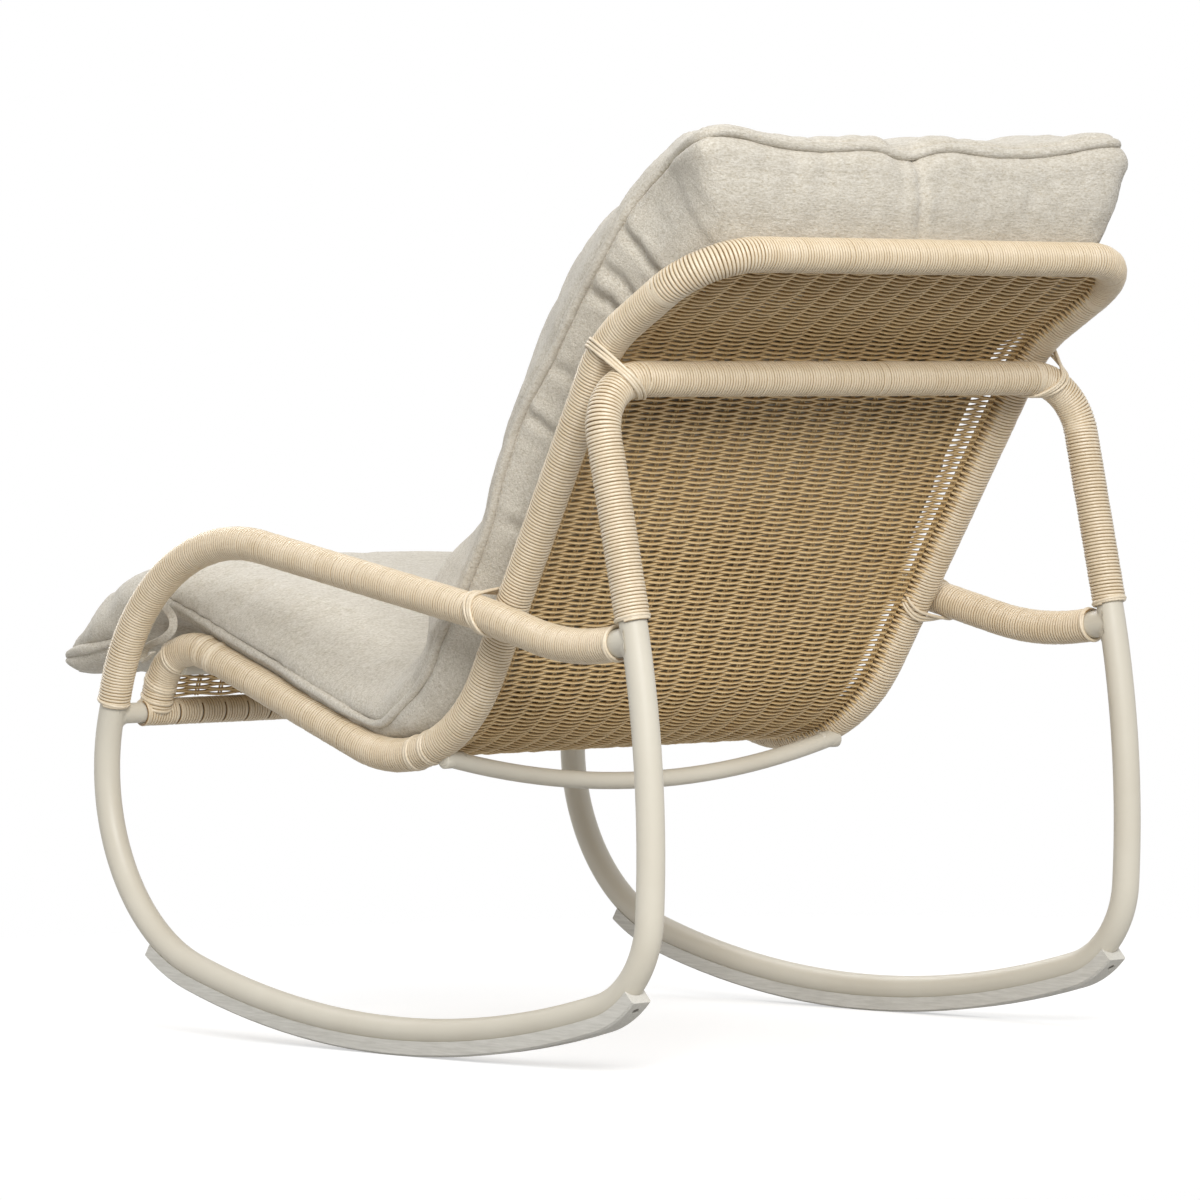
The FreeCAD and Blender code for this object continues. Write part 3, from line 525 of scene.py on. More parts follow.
strands = Quads()
wind(strands, cross_path(*CROSSBAR, TRACK - HOOP_BEND), 41)
strands.build("crossbar_winding", WOUND, "frame", ["crossbar_wrap"])

top_path = resample(bent(rail_line(1)[3:] + rail_line(-1)[:2:-1], [TOP_BEND] * 2), 1.0)
start = np.linalg.norm(np.subtract(TOP, HEAD)) - TOP_BEND
strands = Quads()
wind(strands, trimmed(top_path, start, start), 43)
strands.build("top_rail_winding", WOUND, "frame", ["top_rail_wrap"])

strands = Quads()
stakes_x = (RAIL_HALF - RAIL_MARGIN) / STAKES * np.arange(-STAKES, STAKES + 1)
breaks = np.concatenate([[-RAIL_HALF - CORE - 4], stakes_x, [RAIL_HALF + CORE + 4]])
for k, (a, b) in enumerate(zip(breaks[:-1], breaks[1:])):
    run = np.array([place(a + 0.9, *leg_foot), place(b - 0.9, *leg_foot)])
    wind(strands, resample(run, 1.0), 147 + k, core=CROSS_CORE)
strands.build("front_cross_winding", WOUND, "frame", ["front_cross_wrap"])

# Lashings where wound tubes touch, and weld beads

def nearest_on(path_a, path_b):
    """Closest points of two lines, and the lines' directions there."""
    a, b = resample(path_a, 2.0), resample(path_b, 2.0)
    d = np.linalg.norm(a[:, None] - b[None], axis=2)
    i, j = np.unravel_index(np.argmin(d), d.shape)
    return a[i], unit(np.gradient(a, axis=0))[i], b[j], unit(np.gradient(b, axis=0))[j]


def tight(loop, across, lines, radius):
    """Loop drawn tight round the bars, each point keeping its place along `across`."""
    for _ in range(160):
        loop = loop + 0.5 * ((np.roll(loop, 1, 0) + np.roll(loop, -1, 0)) / 2 - loop)
        for line in lines:
            d = np.linalg.norm(loop[:, None] - line[None], axis=2)
            k = np.argmin(d, axis=1)
            away = loop - line[k]
            away = away - np.outer(away @ across, across) * 0.8
            short = np.clip(radius - d[np.arange(len(loop)), k], 0, None)
            loop = loop + unit(away) * short[:, None]
    return loop


def lash(quads, path_a, path_b, turns, seed):
    """Strand turns tied round two touching bars, slanting between their directions."""
    rng = np.random.default_rng(seed)
    p, dp, q, dq = nearest_on(path_a, path_b)
    lines = []
    for path, point in ((path_a, p), (path_b, q)):
        path = resample(path, 1.5)
        lines.append(path[np.linalg.norm(path - point, axis=1) < 110])
    c = unit(q - p)
    radius = CORE + STRAND * 1.25
    dq = dq if dp @ dq > 0 else -dq
    e = dp - dq
    e = unit(e - c * (e @ c))
    m = np.cross(c, e)
    phi = np.linspace(0, 2 * math.pi, 72, endpoint=False)[:, None]
    oval = (p + q) / 2 + c * np.cos(phi) * (radius * 2.2) + e * np.sin(phi) * radius * 1.5
    for k in range(turns):
        shift = (k - (turns - 1) / 2) * STRAND * 1.03 + rng.normal() * 0.5
        loop = tight(oval + m * shift, m, lines, radius + 0.4 * rng.random())
        loop = resample(np.vstack([loop, loop[:1]]), 2.0)[:-1]
        quads.tube(loop, STRAND / 2, 8, closed=True)


for side, name in SIDES:
    rail = bent(rail_line(side), BENDS)
    tied = Quads()
    lash(tied, rail, hoop_line(side), 3, 61 + side)
    tied.build(name + "_hoop_lashing", WOUND, "frame")
    tied = Quads()
    lash(tied, rail, arm_line(side), 3, 65 + side)
    tied.build(name + "_arm_lashing", WOUND, "frame")


def saddle(quads, root, out, up, bar, post, fillet):
    """Weld fillet where a bar of radius `bar` runs out of a post of radius `post` whose line is `up`."""
    out, up = unit(np.array(out, float)), unit(np.array(up, float))
    up = unit(up - out * (up @ out))
    wide = np.cross(out, up)
    t = np.arange(40) * 2 * math.pi / 40
    f = fillet * np.maximum(np.abs(np.cos(t)) ** 0.6, 0.12)
    rows = []
    for k in np.linspace(0, 1, 6):
        reach = bar + f * (1 - math.sin(k * math.pi / 2))
        meet = np.sqrt(np.clip(post ** 2 - np.minimum(reach * np.abs(np.sin(t)), post) ** 2, 0, None))
        d = meet - 0.6 + f * (1 - math.cos(k * math.pi / 2))
        ring = (np.cos(t) * reach)[:, None] * up + (np.sin(t) * reach)[:, None] * wide
        rows.append(root + np.outer(d, out) + ring)
    quads.grid(np.array(rows), close_v=True)


def plug(quads, node, radius):
    """Weld closing both ends of a cross bar."""
    points = np.array([v.co[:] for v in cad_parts[node].data.vertices]) / MM
    for side in (1, -1):
        x = side * (side * points[:, 0]).max()
        end = points[np.abs(points[:, 0] - x) < 30]
        middle = (end.min(0) + end.max(0)) / 2
        line = np.array([[x - side * d, middle[1], middle[2]] for d in (26.0, 1.5, 0.6)])
        quads.tube(line, radius * np.array([0.9, 0.97, 0.9]), 24, (0, 0, 1.0))


welds = Quads()
for side in (1, -1):
    saddle(welds, place(side * TRACK, *leg_foot), (-side, 0, 0), (0, *LEG_RUN), CROSS_TUBE, TUBE, 8.0)
    arm = resample(arm_line(side), 1.0)
    saddle(welds, arm[-1], arm[-14] - arm[-1], (0, -0.2, 0.98), TUBE, TUBE, 6.0)
plug(welds, "seat_brace_tube", BRACE_TUBE)
plug(welds, "knee_cross_tube", KNEE_TUBE)
welds.build("weld_beads", PAINT, "frame")

# Woven fields

panel_corners = [place(0, *p) for p in (LEG_FOOT, KNUCKLE, HIP, HEAD, TOP)]
panel_line = resample(bent(panel_corners, BENDS, 0.7), 0.5)
panel_s = lengths(panel_line)
panel_t = unit(np.gradient(panel_line, axis=0))
panel_n = np.stack([np.zeros(len(panel_t)), -panel_t[:, 2], panel_t[:, 1]], 1)
ROW = 3.15
ROW_RADIUS = 1.6
BULGE = 2.7
RING = CORE + STRAND / 2
tangent_angle = math.acos(RING / RAIL_MARGIN)


def rail_half_at(z):
    return np.interp(z, [HIP[1], HEAD[1]], [RAIL_HALF, RAIL_TOP_HALF])


def on_panel(s):
    return (np.stack([np.interp(s, panel_s, panel_line[:, k]) for k in range(3)], -1),
            unit(np.stack([np.interp(s, panel_s, panel_n[:, k]) for k in range(3)], -1)))


def weave(name, s0, s1, seed):
    """Rows of strand over and under lengthwise stakes, their ends led round the rails."""
    rng = np.random.default_rng(seed)
    quads = Quads()
    first, last = math.ceil(s0 / ROW), math.floor(s1 / ROW)
    inner = np.linspace(-STAKES, STAKES, 2 * STAKES * 6 + 1)
    sides = 6
    ring = np.arange(sides) * 2 * math.pi / sides
    for row in range(first, last + 1):
        sign = 1 if row % 2 else -1
        at, normal = on_panel(row * ROW + rng.normal() * 0.12)
        half = rail_half_at(at[2])
        gap = (half - RAIL_MARGIN) / STAKES
        h = sign * BULGE * np.cos(math.pi * inner) * (1 + 0.06 * rng.normal())
        h = h + 0.12 * smooth_noise(rng, len(inner), 5)
        u = inner * gap
        edge_u = half - RING * math.cos(tangent_angle)
        edge_h = -h[-1] / abs(h[-1]) * RING * math.sin(tangent_angle) * 0.93
        share = np.array([0.3, 0.62, 1.0])
        lead_u = u[-1] + (edge_u - u[-1]) * share
        lead_h = h[-1] + (edge_h - h[-1]) * share
        u = np.concatenate([-lead_u[::-1], u, lead_u])
        h = np.concatenate([lead_h[::-1], h, lead_h])
        drift = 0.14 * smooth_noise(rng, len(u), 8)
        step = np.array([0.0, -normal[2], normal[1]])
        step = -step if step[2] < 0 else step
        line = at + u[:, None] * np.array([1.0, 0, 0]) + h[:, None] * normal + drift[:, None] * step
        ahead = unit(np.gradient(line, axis=0))
        side_axis = unit(np.cross(ahead, step))
        lift_axis = np.cross(side_axis, ahead)
        g = line[:, None] + ROW_RADIUS * (np.cos(ring)[None, :, None] * side_axis[:, None]
                                          + np.sin(ring)[None, :, None] * lift_axis[:, None])
        # Painted shade: each row darkens on the sides that face its neighbouring rows, and keeps full colour
        # where it faces out of the panel.
        quads.grid(g, close_v=True, shade=np.abs(np.cos(ring)) * 1.3 - 0.3)
    rows = np.arange(s0, s1 + 4, 7.0)
    at, normal = on_panel(rows)
    half = rail_half_at(at[:, 2])
    for k in range(-STAKES, STAKES + 1):
        for pair in (-1.75, 1.75):
            line = at + np.outer((half - RAIL_MARGIN) / STAKES * k + pair, [1.0, 0, 0])
            quads.tube(line, 1.2, 5)
    quads.build(name + "_strands", WOVEN, "frame", [name])


bend_at = [panel_s[np.argmin(np.linalg.norm(panel_line - corner, axis=1))] for corner in panel_corners[1:4]]
front_end = bend_at[0] + BENDS[0] * math.pi / 4
weave("front_weave", 17.5, front_end, 51)
weave("seat_weave", front_end, bend_at[1], 52)
weave("back_weave", bend_at[1], bend_at[2], 53)
weave("head_weave", bend_at[2], panel_s[-1] - CORE - STRAND - 1, 54)

# Cushion

HALF = 283.0
FIRM, LOOSE = 1.0, 0.4
WELT_STEP = 4.0
SEAM = [place(0, *p) for p in ((-632.3, 389.0), (-548, 412), (-468, 463), (9.55, 292.7), (147.5, 642.7),
                               (348.7, 880.3), (432, 903.3))]
SEAM_BENDS = [60, 45, 150, 300, 140]
seam_line = resample(bent(SEAM, SEAM_BENDS, 1.0), 1.0)
seam_s = lengths(seam_line)
seam_t = unit(np.gradient(seam_line, axis=0))
seam_n = np.stack([np.zeros(len(seam_t)), -seam_t[:, 2], seam_t[:, 1]], 1)
seam_end = seam_s[-1]
WELT = [place(0, *p) for p in ((-632.3, 389.0), (-548, 412), (-468, 463), (-92, 326), (-2, 384), (40, 432),
                               (84, 505), (149, 640), (348.7, 880.3), (432, 903.3))]
WELT_BENDS = [60, 45, 35, 60, 60, 80, 200, 140]


def soft_copy(name, node, voxel):
    """The node's solid as one even skin of small quads."""
    piece = bpy.data.objects.new(name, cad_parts[node].data.copy())
    bpy.context.scene.collection.objects.link(piece)
    skin = piece.modifiers.new("skin", "REMESH")
    skin.mode = "VOXEL"
    skin.voxel_size = voxel
    apply_modifiers(piece)
    return piece


def apply_modifiers(piece):
    ready = piece.evaluated_get(bpy.context.evaluated_depsgraph_get())
    mesh = bpy.data.meshes.new_from_object(ready)
    piece.modifiers.clear()
    piece.data = mesh
    mesh.polygons.foreach_set("use_smooth", [True] * len(mesh.polygons))


def points_of(mesh):
    flat = np.empty(len(mesh.vertices) * 3, np.float32)
    mesh.vertices.foreach_get("co", flat)
    return flat.reshape(-1, 3).astype(float) / MM


def normals_of(mesh):
    flat = np.empty(len(mesh.vertices) * 3, np.float32)
    mesh.vertex_normals.foreach_get("vector", flat)
    return flat.reshape(-1, 3).astype(float)


def set_points(mesh, points):
    mesh.vertices.foreach_set("co", (points * MM).astype(np.float32).ravel())
    mesh.update()


def relaxed(mesh, points, rounds, share=0.5):
    """Each point moved towards the middle of its neighbours, round by round."""
    edges = np.empty(len(mesh.edges) * 2, np.int32)
    mesh.edges.foreach_get("vertices", edges)
    a, b = edges.reshape(-1, 2).T
    count = np.bincount(np.concatenate([a, b]), minlength=len(points))[:, None]
    for _ in range(rounds):
        total = np.zeros_like(points)
        np.add.at(total, a, points[b])
        np.add.at(total, b, points[a])
        points = points + share * (total / np.maximum(count, 1) - points)
    return points


def seam_place(points):
    """For each point: place along the seam line, and height above it towards the sitter."""
    s, h = np.empty(len(points)), np.empty(len(points))
    coarse = np.arange(0, len(seam_line), 3)
    line = seam_line[coarse]
    for i in range(0, len(points), 4000):
        d = points[i:i + 4000, None, 1:] - line[None, :, 1:]
        k = coarse[np.argmin((d ** 2).sum(2), axis=1)]
        s[i:i + 4000] = seam_s[k]
        h[i:i + 4000] = ((points[i:i + 4000] - seam_line[k]) * seam_n[k]).sum(1)
    return s, h


def ripple(seed, a, b, span_a, span_b):
    """Smooth random field over two coordinates, about -1 to 1."""
    rng = np.random.default_rng(seed)
    knots = rng.uniform(-1, 1, (64, 64))
    x, y = np.asarray(a) / span_a + 20, np.asarray(b) / span_b + 20
    i, j = np.floor(x).astype(int), np.floor(y).astype(int)
    u, v = x - i, y - j
    u, v = u * u * (3 - 2 * u), v * v * (3 - 2 * v)
    i, j = i % 63, j % 63
    return ((knots[i, j] * (1 - u) + knots[i + 1, j] * u) * (1 - v)
            + (knots[i, j + 1] * (1 - u) + knots[i + 1, j + 1] * u) * v)


def bump_at(x, centre, width):
    return np.exp(-((x - centre) / width) ** 2)


def pinched(points):
    """The top edge sags where the filling has left its middle."""
    top = seam_line[-1]
    reach = np.linalg.norm(points[:, 1:] - top[1:], axis=1)
    fall = np.clip(1 - reach / 120, 0, 1) ** 1.3
    x = points[:, 0]
    sag = 12 * bump_at(x, 18, 30) + 4 * bump_at(x, 150, 70) + 5 * bump_at(x, -120, 60)
    lift = 4 * bump_at(x, 245, 50) + 5 * bump_at(x, -255, 40)
    out = points.copy()
    out[:, 2] += fall * (lift - sag)
    out[:, 1] -= fall * sag * 0.25
    return out


def seam_at(y, z):
    return seam_s[np.argmin(np.hypot(*(seam_line[:, 1:] - place(0, y, z)[1:]).T))]


def filled(points):
    """The filling gathered at the small of the back, the nose, the head's side edges and its top corners."""
    s, h = seam_place(points)
    k = np.searchsorted(seam_s, s).clip(0, len(seam_s) - 1)
    over = np.clip(h / 70, 0, 1)
    gain = 36 * bump_at(s, seam_at(72, 450), 90) - 8 * bump_at(s, seam_at(215, 730), 110)
    gain -= 8 * bump_at(s, seam_at(-160, 354), 120) + 13 * bump_at(s, seam_at(-430, 450), 105)
    crown = bump_at(s, seam_end - 62, np.where(s > seam_end - 62, 34, 64))
    crown = crown * (0.4 + 0.6 * np.clip((np.abs(points[:, 0]) - 120) / 120, 0, 1))
    rise = over * gain + 25 * np.clip(h / 9, 0, 1) * crown
    out = points + seam_n[k] * rise[:, None]
    nose = np.clip(1 - s / 105, 0, 1)
    nose = nose * nose * (3 - 2 * nose)
    out[:, 1] -= 23 * nose
    out[:, 2] += 5 * nose
    for side in (1, -1):
        corner = np.array([side * HALF, seam_line[-1][1], seam_line[-1][2]])
        near = np.exp(-((points - corner) ** 2).sum(1) / 62 ** 2)
        out += near[:, None] * np.array([side * 12.0, 4.0, 6.0])
    return out


def inflated(piece, held, frames, cap):
    """Cover swollen by its filling: pressure on a slightly slack cloth, held at the seam and below."""
    group = piece.vertex_groups.new(name="held")
    for weight in (FIRM, LOOSE):
        chosen = np.flatnonzero(np.isclose(held, weight))
        group.add([int(i) for i in chosen], weight, "REPLACE")
    before = points_of(piece.data)
    cloth = piece.modifiers.new("filling", "CLOTH")
    settings = cloth.settings
    settings.quality = 5
    settings.mass = 0.4
    settings.tension_stiffness = 12
    settings.compression_stiffness = 8
    settings.shear_stiffness = 5
    settings.bending_stiffness = 0.25
    settings.air_damping = 3
    settings.use_pressure = True
    settings.uniform_pressure_force = 4
    settings.shrink_min = -0.035
    settings.vertex_group_mass = "held"
    settings.effector_weights.gravity = 0
    cloth.point_cache.frame_start = 1
    cloth.point_cache.frame_end = frames
    scene = bpy.context.scene
    for number in range(1, frames + 1):
        scene.frame_set(number)
    ready = piece.evaluated_get(bpy.context.evaluated_depsgraph_get())
    after = points_of(ready.data)
    piece.modifiers.clear()
    piece.vertex_groups.clear()
    scene.frame_set(1)
    move = after - before
    far = np.linalg.norm(move, axis=1, keepdims=True)
    return before + move * np.minimum(1, cap / np.maximum(far, 1e-9))


def welt_guess():
    """The seam all round the cushion, before it is laid on the cover."""
    corner = 26.0
    left = resample(bent(WELT, WELT_BENDS, 1.0), WELT_STEP)
    s = lengths(left)
    wave = ripple(78, s, s * 0, 22, 1) * np.clip(s / 200 - 2, 0, 1) * np.clip((s[-1] - s) / 120, 0, 1)
    left[:, 1] += 2.4 * wave
    tuck = np.clip(1 - np.minimum(s, s[-1] - s) / corner, 0, 1)
    left[:, 0] = HALF + 2 - corner * (1 - np.sqrt(1 - tuck ** 2)) * 0.8
    right = left[::-1] * np.array([-1.0, 1, 1])
    loop = np.concatenate([left, right])
    return pinched(filled(resample(np.vstack([loop, loop[:1]]), WELT_STEP)[:-1]))


def skin_tree(mesh):
    return BVHTree.FromPolygons([v.co.copy() for v in mesh.vertices],
                                [p.vertices[:] for p in mesh.polygons])


def laid_on(mesh, points, height):
    """Points brought onto the mesh sideways, or by the nearest way at the two ends, then off it by height."""
    tree = skin_tree(mesh)
    out = []
    for point in points:
        side = 1.0 if point[0] > 0 else -1.0
        spot = normal = None
        if abs(point[0]) > HALF - 12:
            outside = Vector((side * 0.36, point[1] * MM, point[2] * MM))
            spot, normal, _, _ = tree.ray_cast(outside, Vector((-side, 0, 0)))
        if spot is None or abs(spot[0] / MM - point[0]) > 30:
            spot, normal, _, _ = tree.find_nearest(Vector(point * MM))
        out.append(np.array(spot + normal * height * MM) / MM)
    out = np.array(out)
    for _ in range(8):
        out = (np.roll(out, 1, 0) + 2 * out + np.roll(out, -1, 0)) / 4
    return out


# Folds across the side panel of the back, by their place on the seam, and their depth.
LEFT_FOLDS = [((303, 828), 5.0), ((283, 786), 3.4), ((266, 762), 4.4), ((206, 690), 2.4), ((172, 640), 4.2),
              ((118, 540), 2.8)]
RIGHT_FOLDS = [((308, 834), 4.4), ((276, 774), 4.6), ((246, 730), 2.6), ((210, 696), 4.0), ((152, 604), 4.2)]


def held_points(form):
    """How firmly the seam and the side on the weave hold each point of the cover."""
    s, h = seam_place(form)
    panel_gap = np.min([np.linalg.norm(form[:, 1:] - p[1:], axis=1) for p in panel_line[::8]], axis=0)
    held = np.zeros(len(form))
    held[(np.abs(form[:, 0]) > HALF - 40) & (np.abs(h) < 26)] = LOOSE
    held[(np.abs(form[:, 0]) > HALF - 14) & (np.abs(h) < 9)] = FIRM
    held[(np.minimum(s, seam_end - s) < 12) & (np.abs(h) < 9)] = FIRM
    held[(panel_gap < 24) & (h < -8)] = FIRM
    return held


def puckers(form, welt_line):
    """Cover drawn in at the welt, swelling beside it and puckered along it."""
    near = KDTree(len(welt_line))
    for i, point in enumerate(welt_line):
        near.insert(Vector(point), i)
    near.balance()
    found = [near.find(Vector(point)) for point in form]
    away = np.array([f[2] for f in found])
    along = np.array([f[1] for f in found]) * WELT_STEP
    move = -4.6 * bump_at(away, 0, 7) + 2.2 * bump_at(away, 19, 10)
    return move + 1.7 * ripple(71, along, away * 0, 17, 1) * np.clip(away / 9, 0, 1) * np.exp(-away / 26)


def slack(s, x):
    """Soft unevenness all over."""
    return 2.6 * ripple(72, s, x, 120, 150) + 0.9 * ripple(73, s, x, 34, 60)


def side_folds(s, h, x):
    """Folds across the side panels of the back."""
    under = np.clip(-h / 14, 0, 1) * np.clip((-h - 2) / 10, 0, 1)
    move = np.zeros(len(s))
    for folds, side in ((LEFT_FOLDS, 1), (RIGHT_FOLDS, -1)):
        on_side = np.clip((side * x - 225) / 30, 0, 1) * under
        for at, depth in folds:
            slant = seam_at(*at) + 0.22 * h + 3 * ripple(int(at[1]), h, x * 0, 30, 1)
            swell = 0.6 * bump_at(s, slant + 13, 9) + 0.3 * bump_at(s, slant - 13, 9)
            move += on_side * depth * (swell - bump_at(s, slant, 6))
    return move


def lap_crease(s, h, x):
    """Crease from side to side where the cushion turns up from the seat."""
    upper = np.clip(h / 12, 0, 1) * np.clip((HALF - 22 - np.abs(x)) / 40, 0, 1)
    crease = seam_at(-20, 350) + 13 * ripple(75, x, x * 0, 80, 1)
    swell = 4 * bump_at(s, crease + 30, 20) + 3 * bump_at(s, crease - 30, 20)
    return upper * (swell - 12 * bump_at(s, crease, 12))


def head_crease(s, h, x):
    """Crease down the middle of the head's rear side, below the pinch."""
    rear_top = np.clip((s - seam_end + 150) / 60, 0, 1) * np.clip(-h / 10, 0, 1)
    line_x = 6 + 6 * ripple(76, s, x * 0, 40, 1)
    swell = 1.6 * bump_at(x, line_x - 12, 9) + 1.2 * bump_at(x, line_x + 13, 10)
    return rear_top * (swell - 3.4 * bump_at(x, line_x, 5))


def waist_ridge(s, h, x, welt_line):
    """Move along x that makes the welt the widest line of the back, with the side panel slimmer below."""
    hip_s = seam_at(40, 420)
    waist = np.where(s > hip_s, np.clip((seam_end - s) / 60, 0, 1), bump_at(s, hip_s, 150))
    along_welt, over_seam = seam_place(welt_line)
    order = np.argsort(along_welt)
    over_seam = np.interp(s, along_welt[order], over_seam[order])
    ridge = 10 * bump_at(h, over_seam, 24) - 11 * np.clip((over_seam - h) / 18, 0, 1)
    return np.sign(x) * waist * ridge * np.clip(np.abs(x) / 40 - 5, 0, 1)


pad = soft_copy("lounge_cushion_cover", "lounge_cushion", 0.0085)
skin = pad.data
form = relaxed(skin, points_of(skin), 3)
held = held_points(form)
set_points(skin, form)
form = points_of(skin) + 0.6 * (inflated(pad, held, 20, 22.0) - form)
form[held == FIRM] = points_of(skin)[held == FIRM]
set_points(skin, relaxed(skin, form, 1, 0.35))
finer = pad.modifiers.new("finer", "SUBSURF")
finer.levels = 1
apply_modifiers(pad)
skin = pad.data

form = pinched(filled(points_of(skin)))
set_points(skin, form)
welt_line = laid_on(skin, welt_guess(), 0.0)
s, h = seam_place(form)
x = form[:, 0]
move = puckers(form, welt_line)
move += slack(s, x)
for crease in (side_folds, lap_crease, head_crease):
    move += crease(s, h, x)
form = form + normals_of(skin) * move[:, None]
form[:, 0] += waist_ridge(s, h, x, welt_line)
set_points(skin, form)
dress(pad, FABRIC, "cushion", ["lounge_cushion"])

welt = Quads()
welt_line = laid_on(skin, welt_line, 2.2)
knots = np.arange(0, len(welt_line), 7)
thick = 5.0 + 0.4 * np.interp(np.arange(len(welt_line)), knots,
                              np.random.default_rng(77).normal(size=len(knots)))
welt.tube(welt_line, thick, 12, (0, 0, 1.0), closed=True)
welt.build("cushion_piping", FABRIC, "cushion", ["cushion_welt"])


def tape(quads, line, width, thickness):
    """Flat woven tape along a line, turning slowly as it goes."""
    line = resample(line, 2.0)
    ahead = unit(np.gradient(line, axis=0))
    turn = np.linspace(0.5, 1.4, len(line))
    across = unit(np.cross(ahead, np.array([1.0, 0, 0])))
    flat = unit(np.cos(turn)[:, None] * across + np.sin(turn)[:, None] * np.array([1.0, 0, 0]))
    thin = unit(np.cross(ahead, flat))
    corners = [(-0.5, -0.35), (-0.42, -0.5), (0.42, -0.5), (0.5, -0.35), (0.5, 0.35), (0.42, 0.5),
               (-0.42, 0.5), (-0.5, 0.35)]
    g = np.stack([line + flat * width * a + thin * thickness * b for a, b in corners], 1)
    g = np.concatenate([np.repeat(line[:1, None], len(corners), 1), g,
                        np.repeat(line[-1:, None], len(corners), 1)])
    quads.grid(g, close_v=True)


TIE = [(285, -440, 450), (292, -436, 452), (296, -425, 449), (297, -414, 441), (297, -411, 431),
       (297, -418, 422), (297, -434, 415), (296, -454, 411), (294, -468, 405), (293, -473, 396),
       (295, -467, 391), (298, -456, 396), (299, -447, 402)]
for side, name in SIDES:
    route = np.array([place(side * a, b, c) for a, b, c in TIE])
    for _ in range(3):
        a, b = route[:-1], route[1:]
        cut = np.stack([0.75 * a + 0.25 * b, 0.25 * a + 0.75 * b], 1).reshape(-1, 3)
        route = np.vstack([route[:1], cut, route[-1:]])
    strip = Quads()
    tape(strip, route, 9.0, 1.8)
    strip.build(name + "_tie_tape", FABRIC, "cushion", [name + "_cushion_tie"])

# Floor, light and camera

def pale_floor():
    """Pale floor that takes the chair's shadow and fades into the white ground."""
    floor_mesh = bpy.data.meshes.new("floor")
    floor_mesh.from_pydata([(-4, -4, 0), (4, -4, 0), (4, 4, 0), (-4, 4, 0)], [], [(0, 1, 2, 3)])
    floor = bpy.data.objects.new("floor", floor_mesh)
    bpy.context.scene.collection.objects.link(floor)
    pale = Shade("pale_floor", 0.9, 0.1)
    pale.colour(pale.ramp(pale.noise(2, 2), [(0.3, (0.52, 0.52, 0.52, 1)), (0.7, (0.55, 0.55, 0.55, 1))]))
    glow = pale.node("ShaderNodeEmission", Strength=0.56)
    seen = pale.node("ShaderNodeAddShader")
    matte = pale.node("ShaderNodeBsdfDiffuse", Color=(0.55, 0.55, 0.55, 1))
    pale.link(matte.outputs[0], seen.inputs[0])
    pale.link(glow.outputs[0], seen.inputs[1])
    rays = pale.node("ShaderNodeLightPath")
    both = pale.node("ShaderNodeMixShader")
    pale.link(rays.outputs["Is Camera Ray"], both.inputs[0])
    pale.link(pale.shader.outputs[0], both.inputs[1])
    pale.link(seen.outputs[0], both.inputs[2])
    span = pale.node("ShaderNodeVectorMath", operation="LENGTH")
    pale.link(pale.coords, span.inputs[0])
    fade = pale.node("ShaderNodeMapRange", interpolation_type="SMOOTHSTEP")
    fade.inputs["From Min"].default_value, fade.inputs["From Max"].default_value = 0.9, 1.7
    pale.link(span.outputs["Value"], fade.inputs["Value"])
    faded = pale.node("ShaderNodeMixShader")
    pale.link(fade.outputs["Result"], faded.inputs[0])
    pale.link(both.outputs[0], faded.inputs[1])
    pale.link(pale.node("ShaderNodeBsdfTransparent").outputs[0], faded.inputs[2])
    pale.link(faded.outputs[0], pale.tree.nodes["Material Output"].inputs["Surface"])
    floor_mesh.materials.append(pale.material)
    return floor


floor = pale_floor()


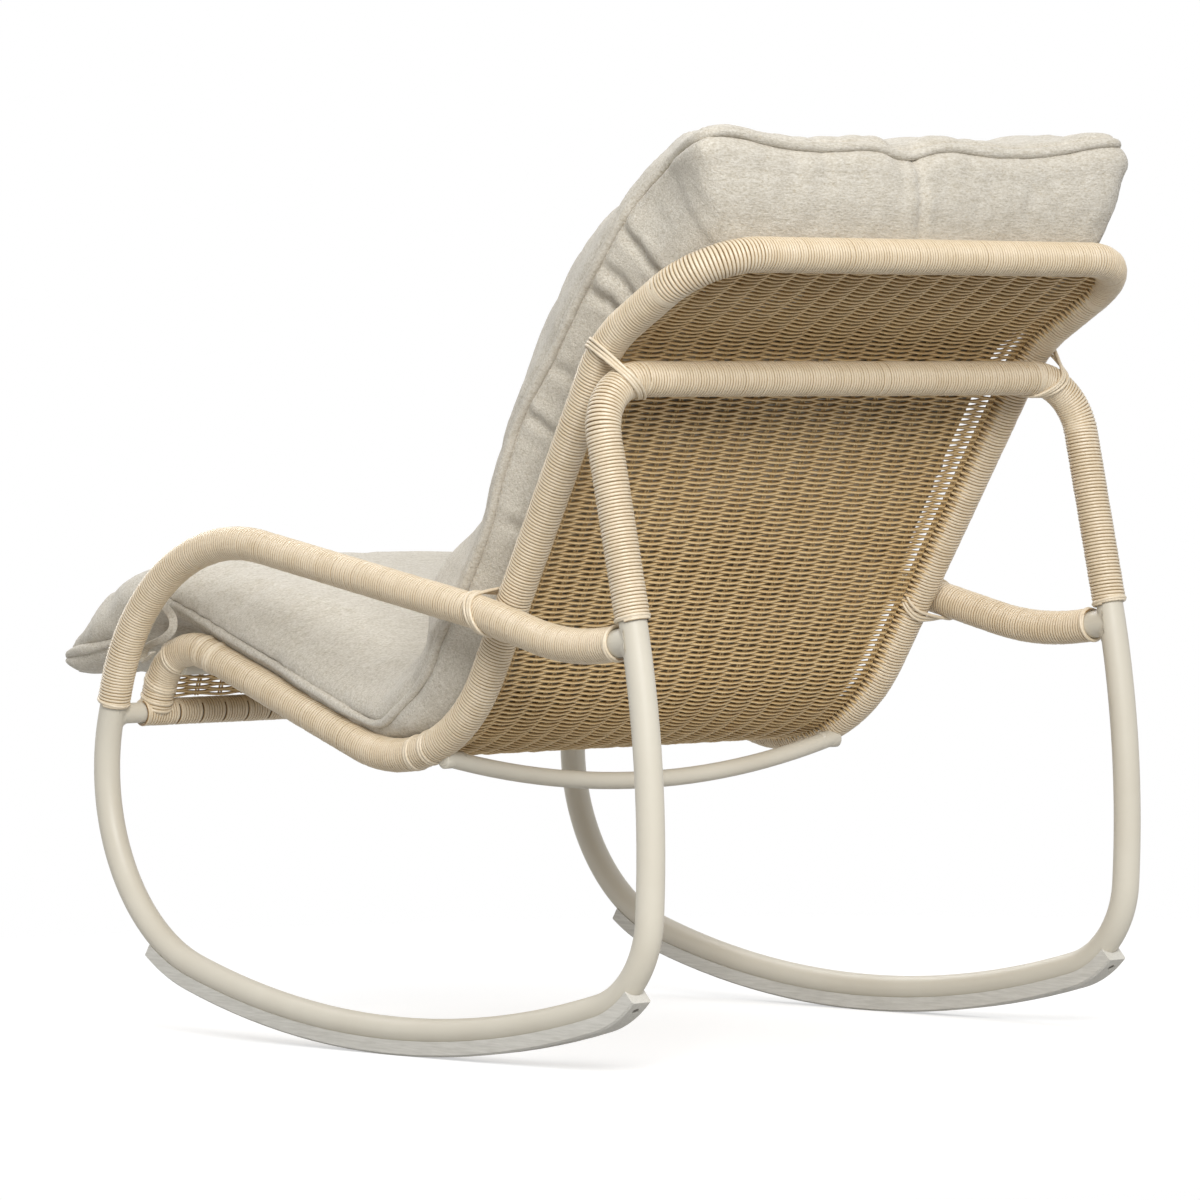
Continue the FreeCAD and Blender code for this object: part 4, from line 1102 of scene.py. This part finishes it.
def studio_world():
    """Soft light from above the horizon, on a ground that camera, glossy and transmission rays see white."""
    world = bpy.data.worlds.new("studio")
    bpy.context.scene.world = world
    world.use_nodes = True
    nodes, links = world.node_tree.nodes, world.node_tree.links
    back = nodes["Background"]
    back.inputs["Color"].default_value = (1, 1, 1, 1)
    way = nodes.new("ShaderNodeTexCoord")
    part_z = nodes.new("ShaderNodeSeparateXYZ")
    links.new(way.outputs["Generated"], part_z.inputs[0])
    sky = nodes.new("ShaderNodeMapRange")
    sky.inputs["From Min"].default_value, sky.inputs["From Max"].default_value = -0.3, 0.2
    sky.inputs["To Min"].default_value, sky.inputs["To Max"].default_value = 0.14, 0.6
    links.new(part_z.outputs["Z"], sky.inputs["Value"])
    links.new(sky.outputs["Result"], back.inputs["Strength"])
    backdrop = nodes.new("ShaderNodeBackground")
    backdrop.inputs["Color"].default_value = (1, 1, 1, 1)
    rays = nodes.new("ShaderNodeLightPath")
    either = nodes.new("ShaderNodeMath")
    either.operation = "MAXIMUM"
    links.new(rays.outputs["Is Camera Ray"], either.inputs[0])
    links.new(rays.outputs["Is Transmission Ray"], either.inputs[1])
    any_ray = nodes.new("ShaderNodeMath")
    any_ray.operation = "MAXIMUM"
    links.new(either.outputs[0], any_ray.inputs[0])
    links.new(rays.outputs["Is Glossy Ray"], any_ray.inputs[1])
    choose = nodes.new("ShaderNodeMixShader")
    links.new(any_ray.outputs[0], choose.inputs[0])
    links.new(back.outputs[0], choose.inputs[1])
    links.new(backdrop.outputs[0], choose.inputs[2])
    links.new(choose.outputs[0], nodes["World Output"].inputs["Surface"])


def area_light(name, at, to, size, power):
    data = bpy.data.lights.new(name, "AREA")
    data.shape = "DISK"
    data.size = size
    data.energy = power
    lamp = bpy.data.objects.new(name, data)
    lamp.location = at
    lamp.rotation_euler = (Vector(to) - Vector(at)).to_track_quat("-Z", "Y").to_euler()
    bpy.context.scene.collection.objects.link(lamp)


studio_world()
area_light("key", (2.3, 3.7, 2.7), (0, 0, 0.5), 2.6, 182)
area_light("front", (-0.6, -3.4, 2.9), (0, 0, 0.4), 2.8, 75)

PITCH = math.radians(1.5)
ROLL_CENTRE = 1241.0


def from_fit(y, z):
    """Camera-fit frame to part frame, in metres: the chair is rocked back by PITCH from the fitted one."""
    y, z = y - 41.31, z - ROLL_CENTRE
    return ((y * math.cos(PITCH) + z * math.sin(PITCH) + LOW_Y) * MM,
            (ROLL_CENTRE - y * math.sin(PITCH) + z * math.cos(PITCH)) * MM)


camera_data = bpy.data.cameras.new("camera")
camera = bpy.data.objects.new("camera", camera_data)
bpy.context.scene.collection.objects.link(camera)
eye = Vector((4.2814, *from_fit(4884.4, 698.5)))
aim = Vector((0.0, *from_fit(0, 450)))
up = Vector((0, math.sin(PITCH), math.cos(PITCH)))
back_axis = (eye - aim).normalized()
right_axis = up.cross(back_axis).normalized()
up_axis = back_axis.cross(right_axis)
camera.matrix_world = Matrix.Translation(eye) @ Matrix((right_axis, up_axis, back_axis)).transposed().to_4x4()
camera_data.lens = 185.25
camera_data.sensor_width = 36
camera_data.clip_end = 100
bpy.context.scene.camera = camera

bpy.context.scene.view_settings.view_transform = "Standard"
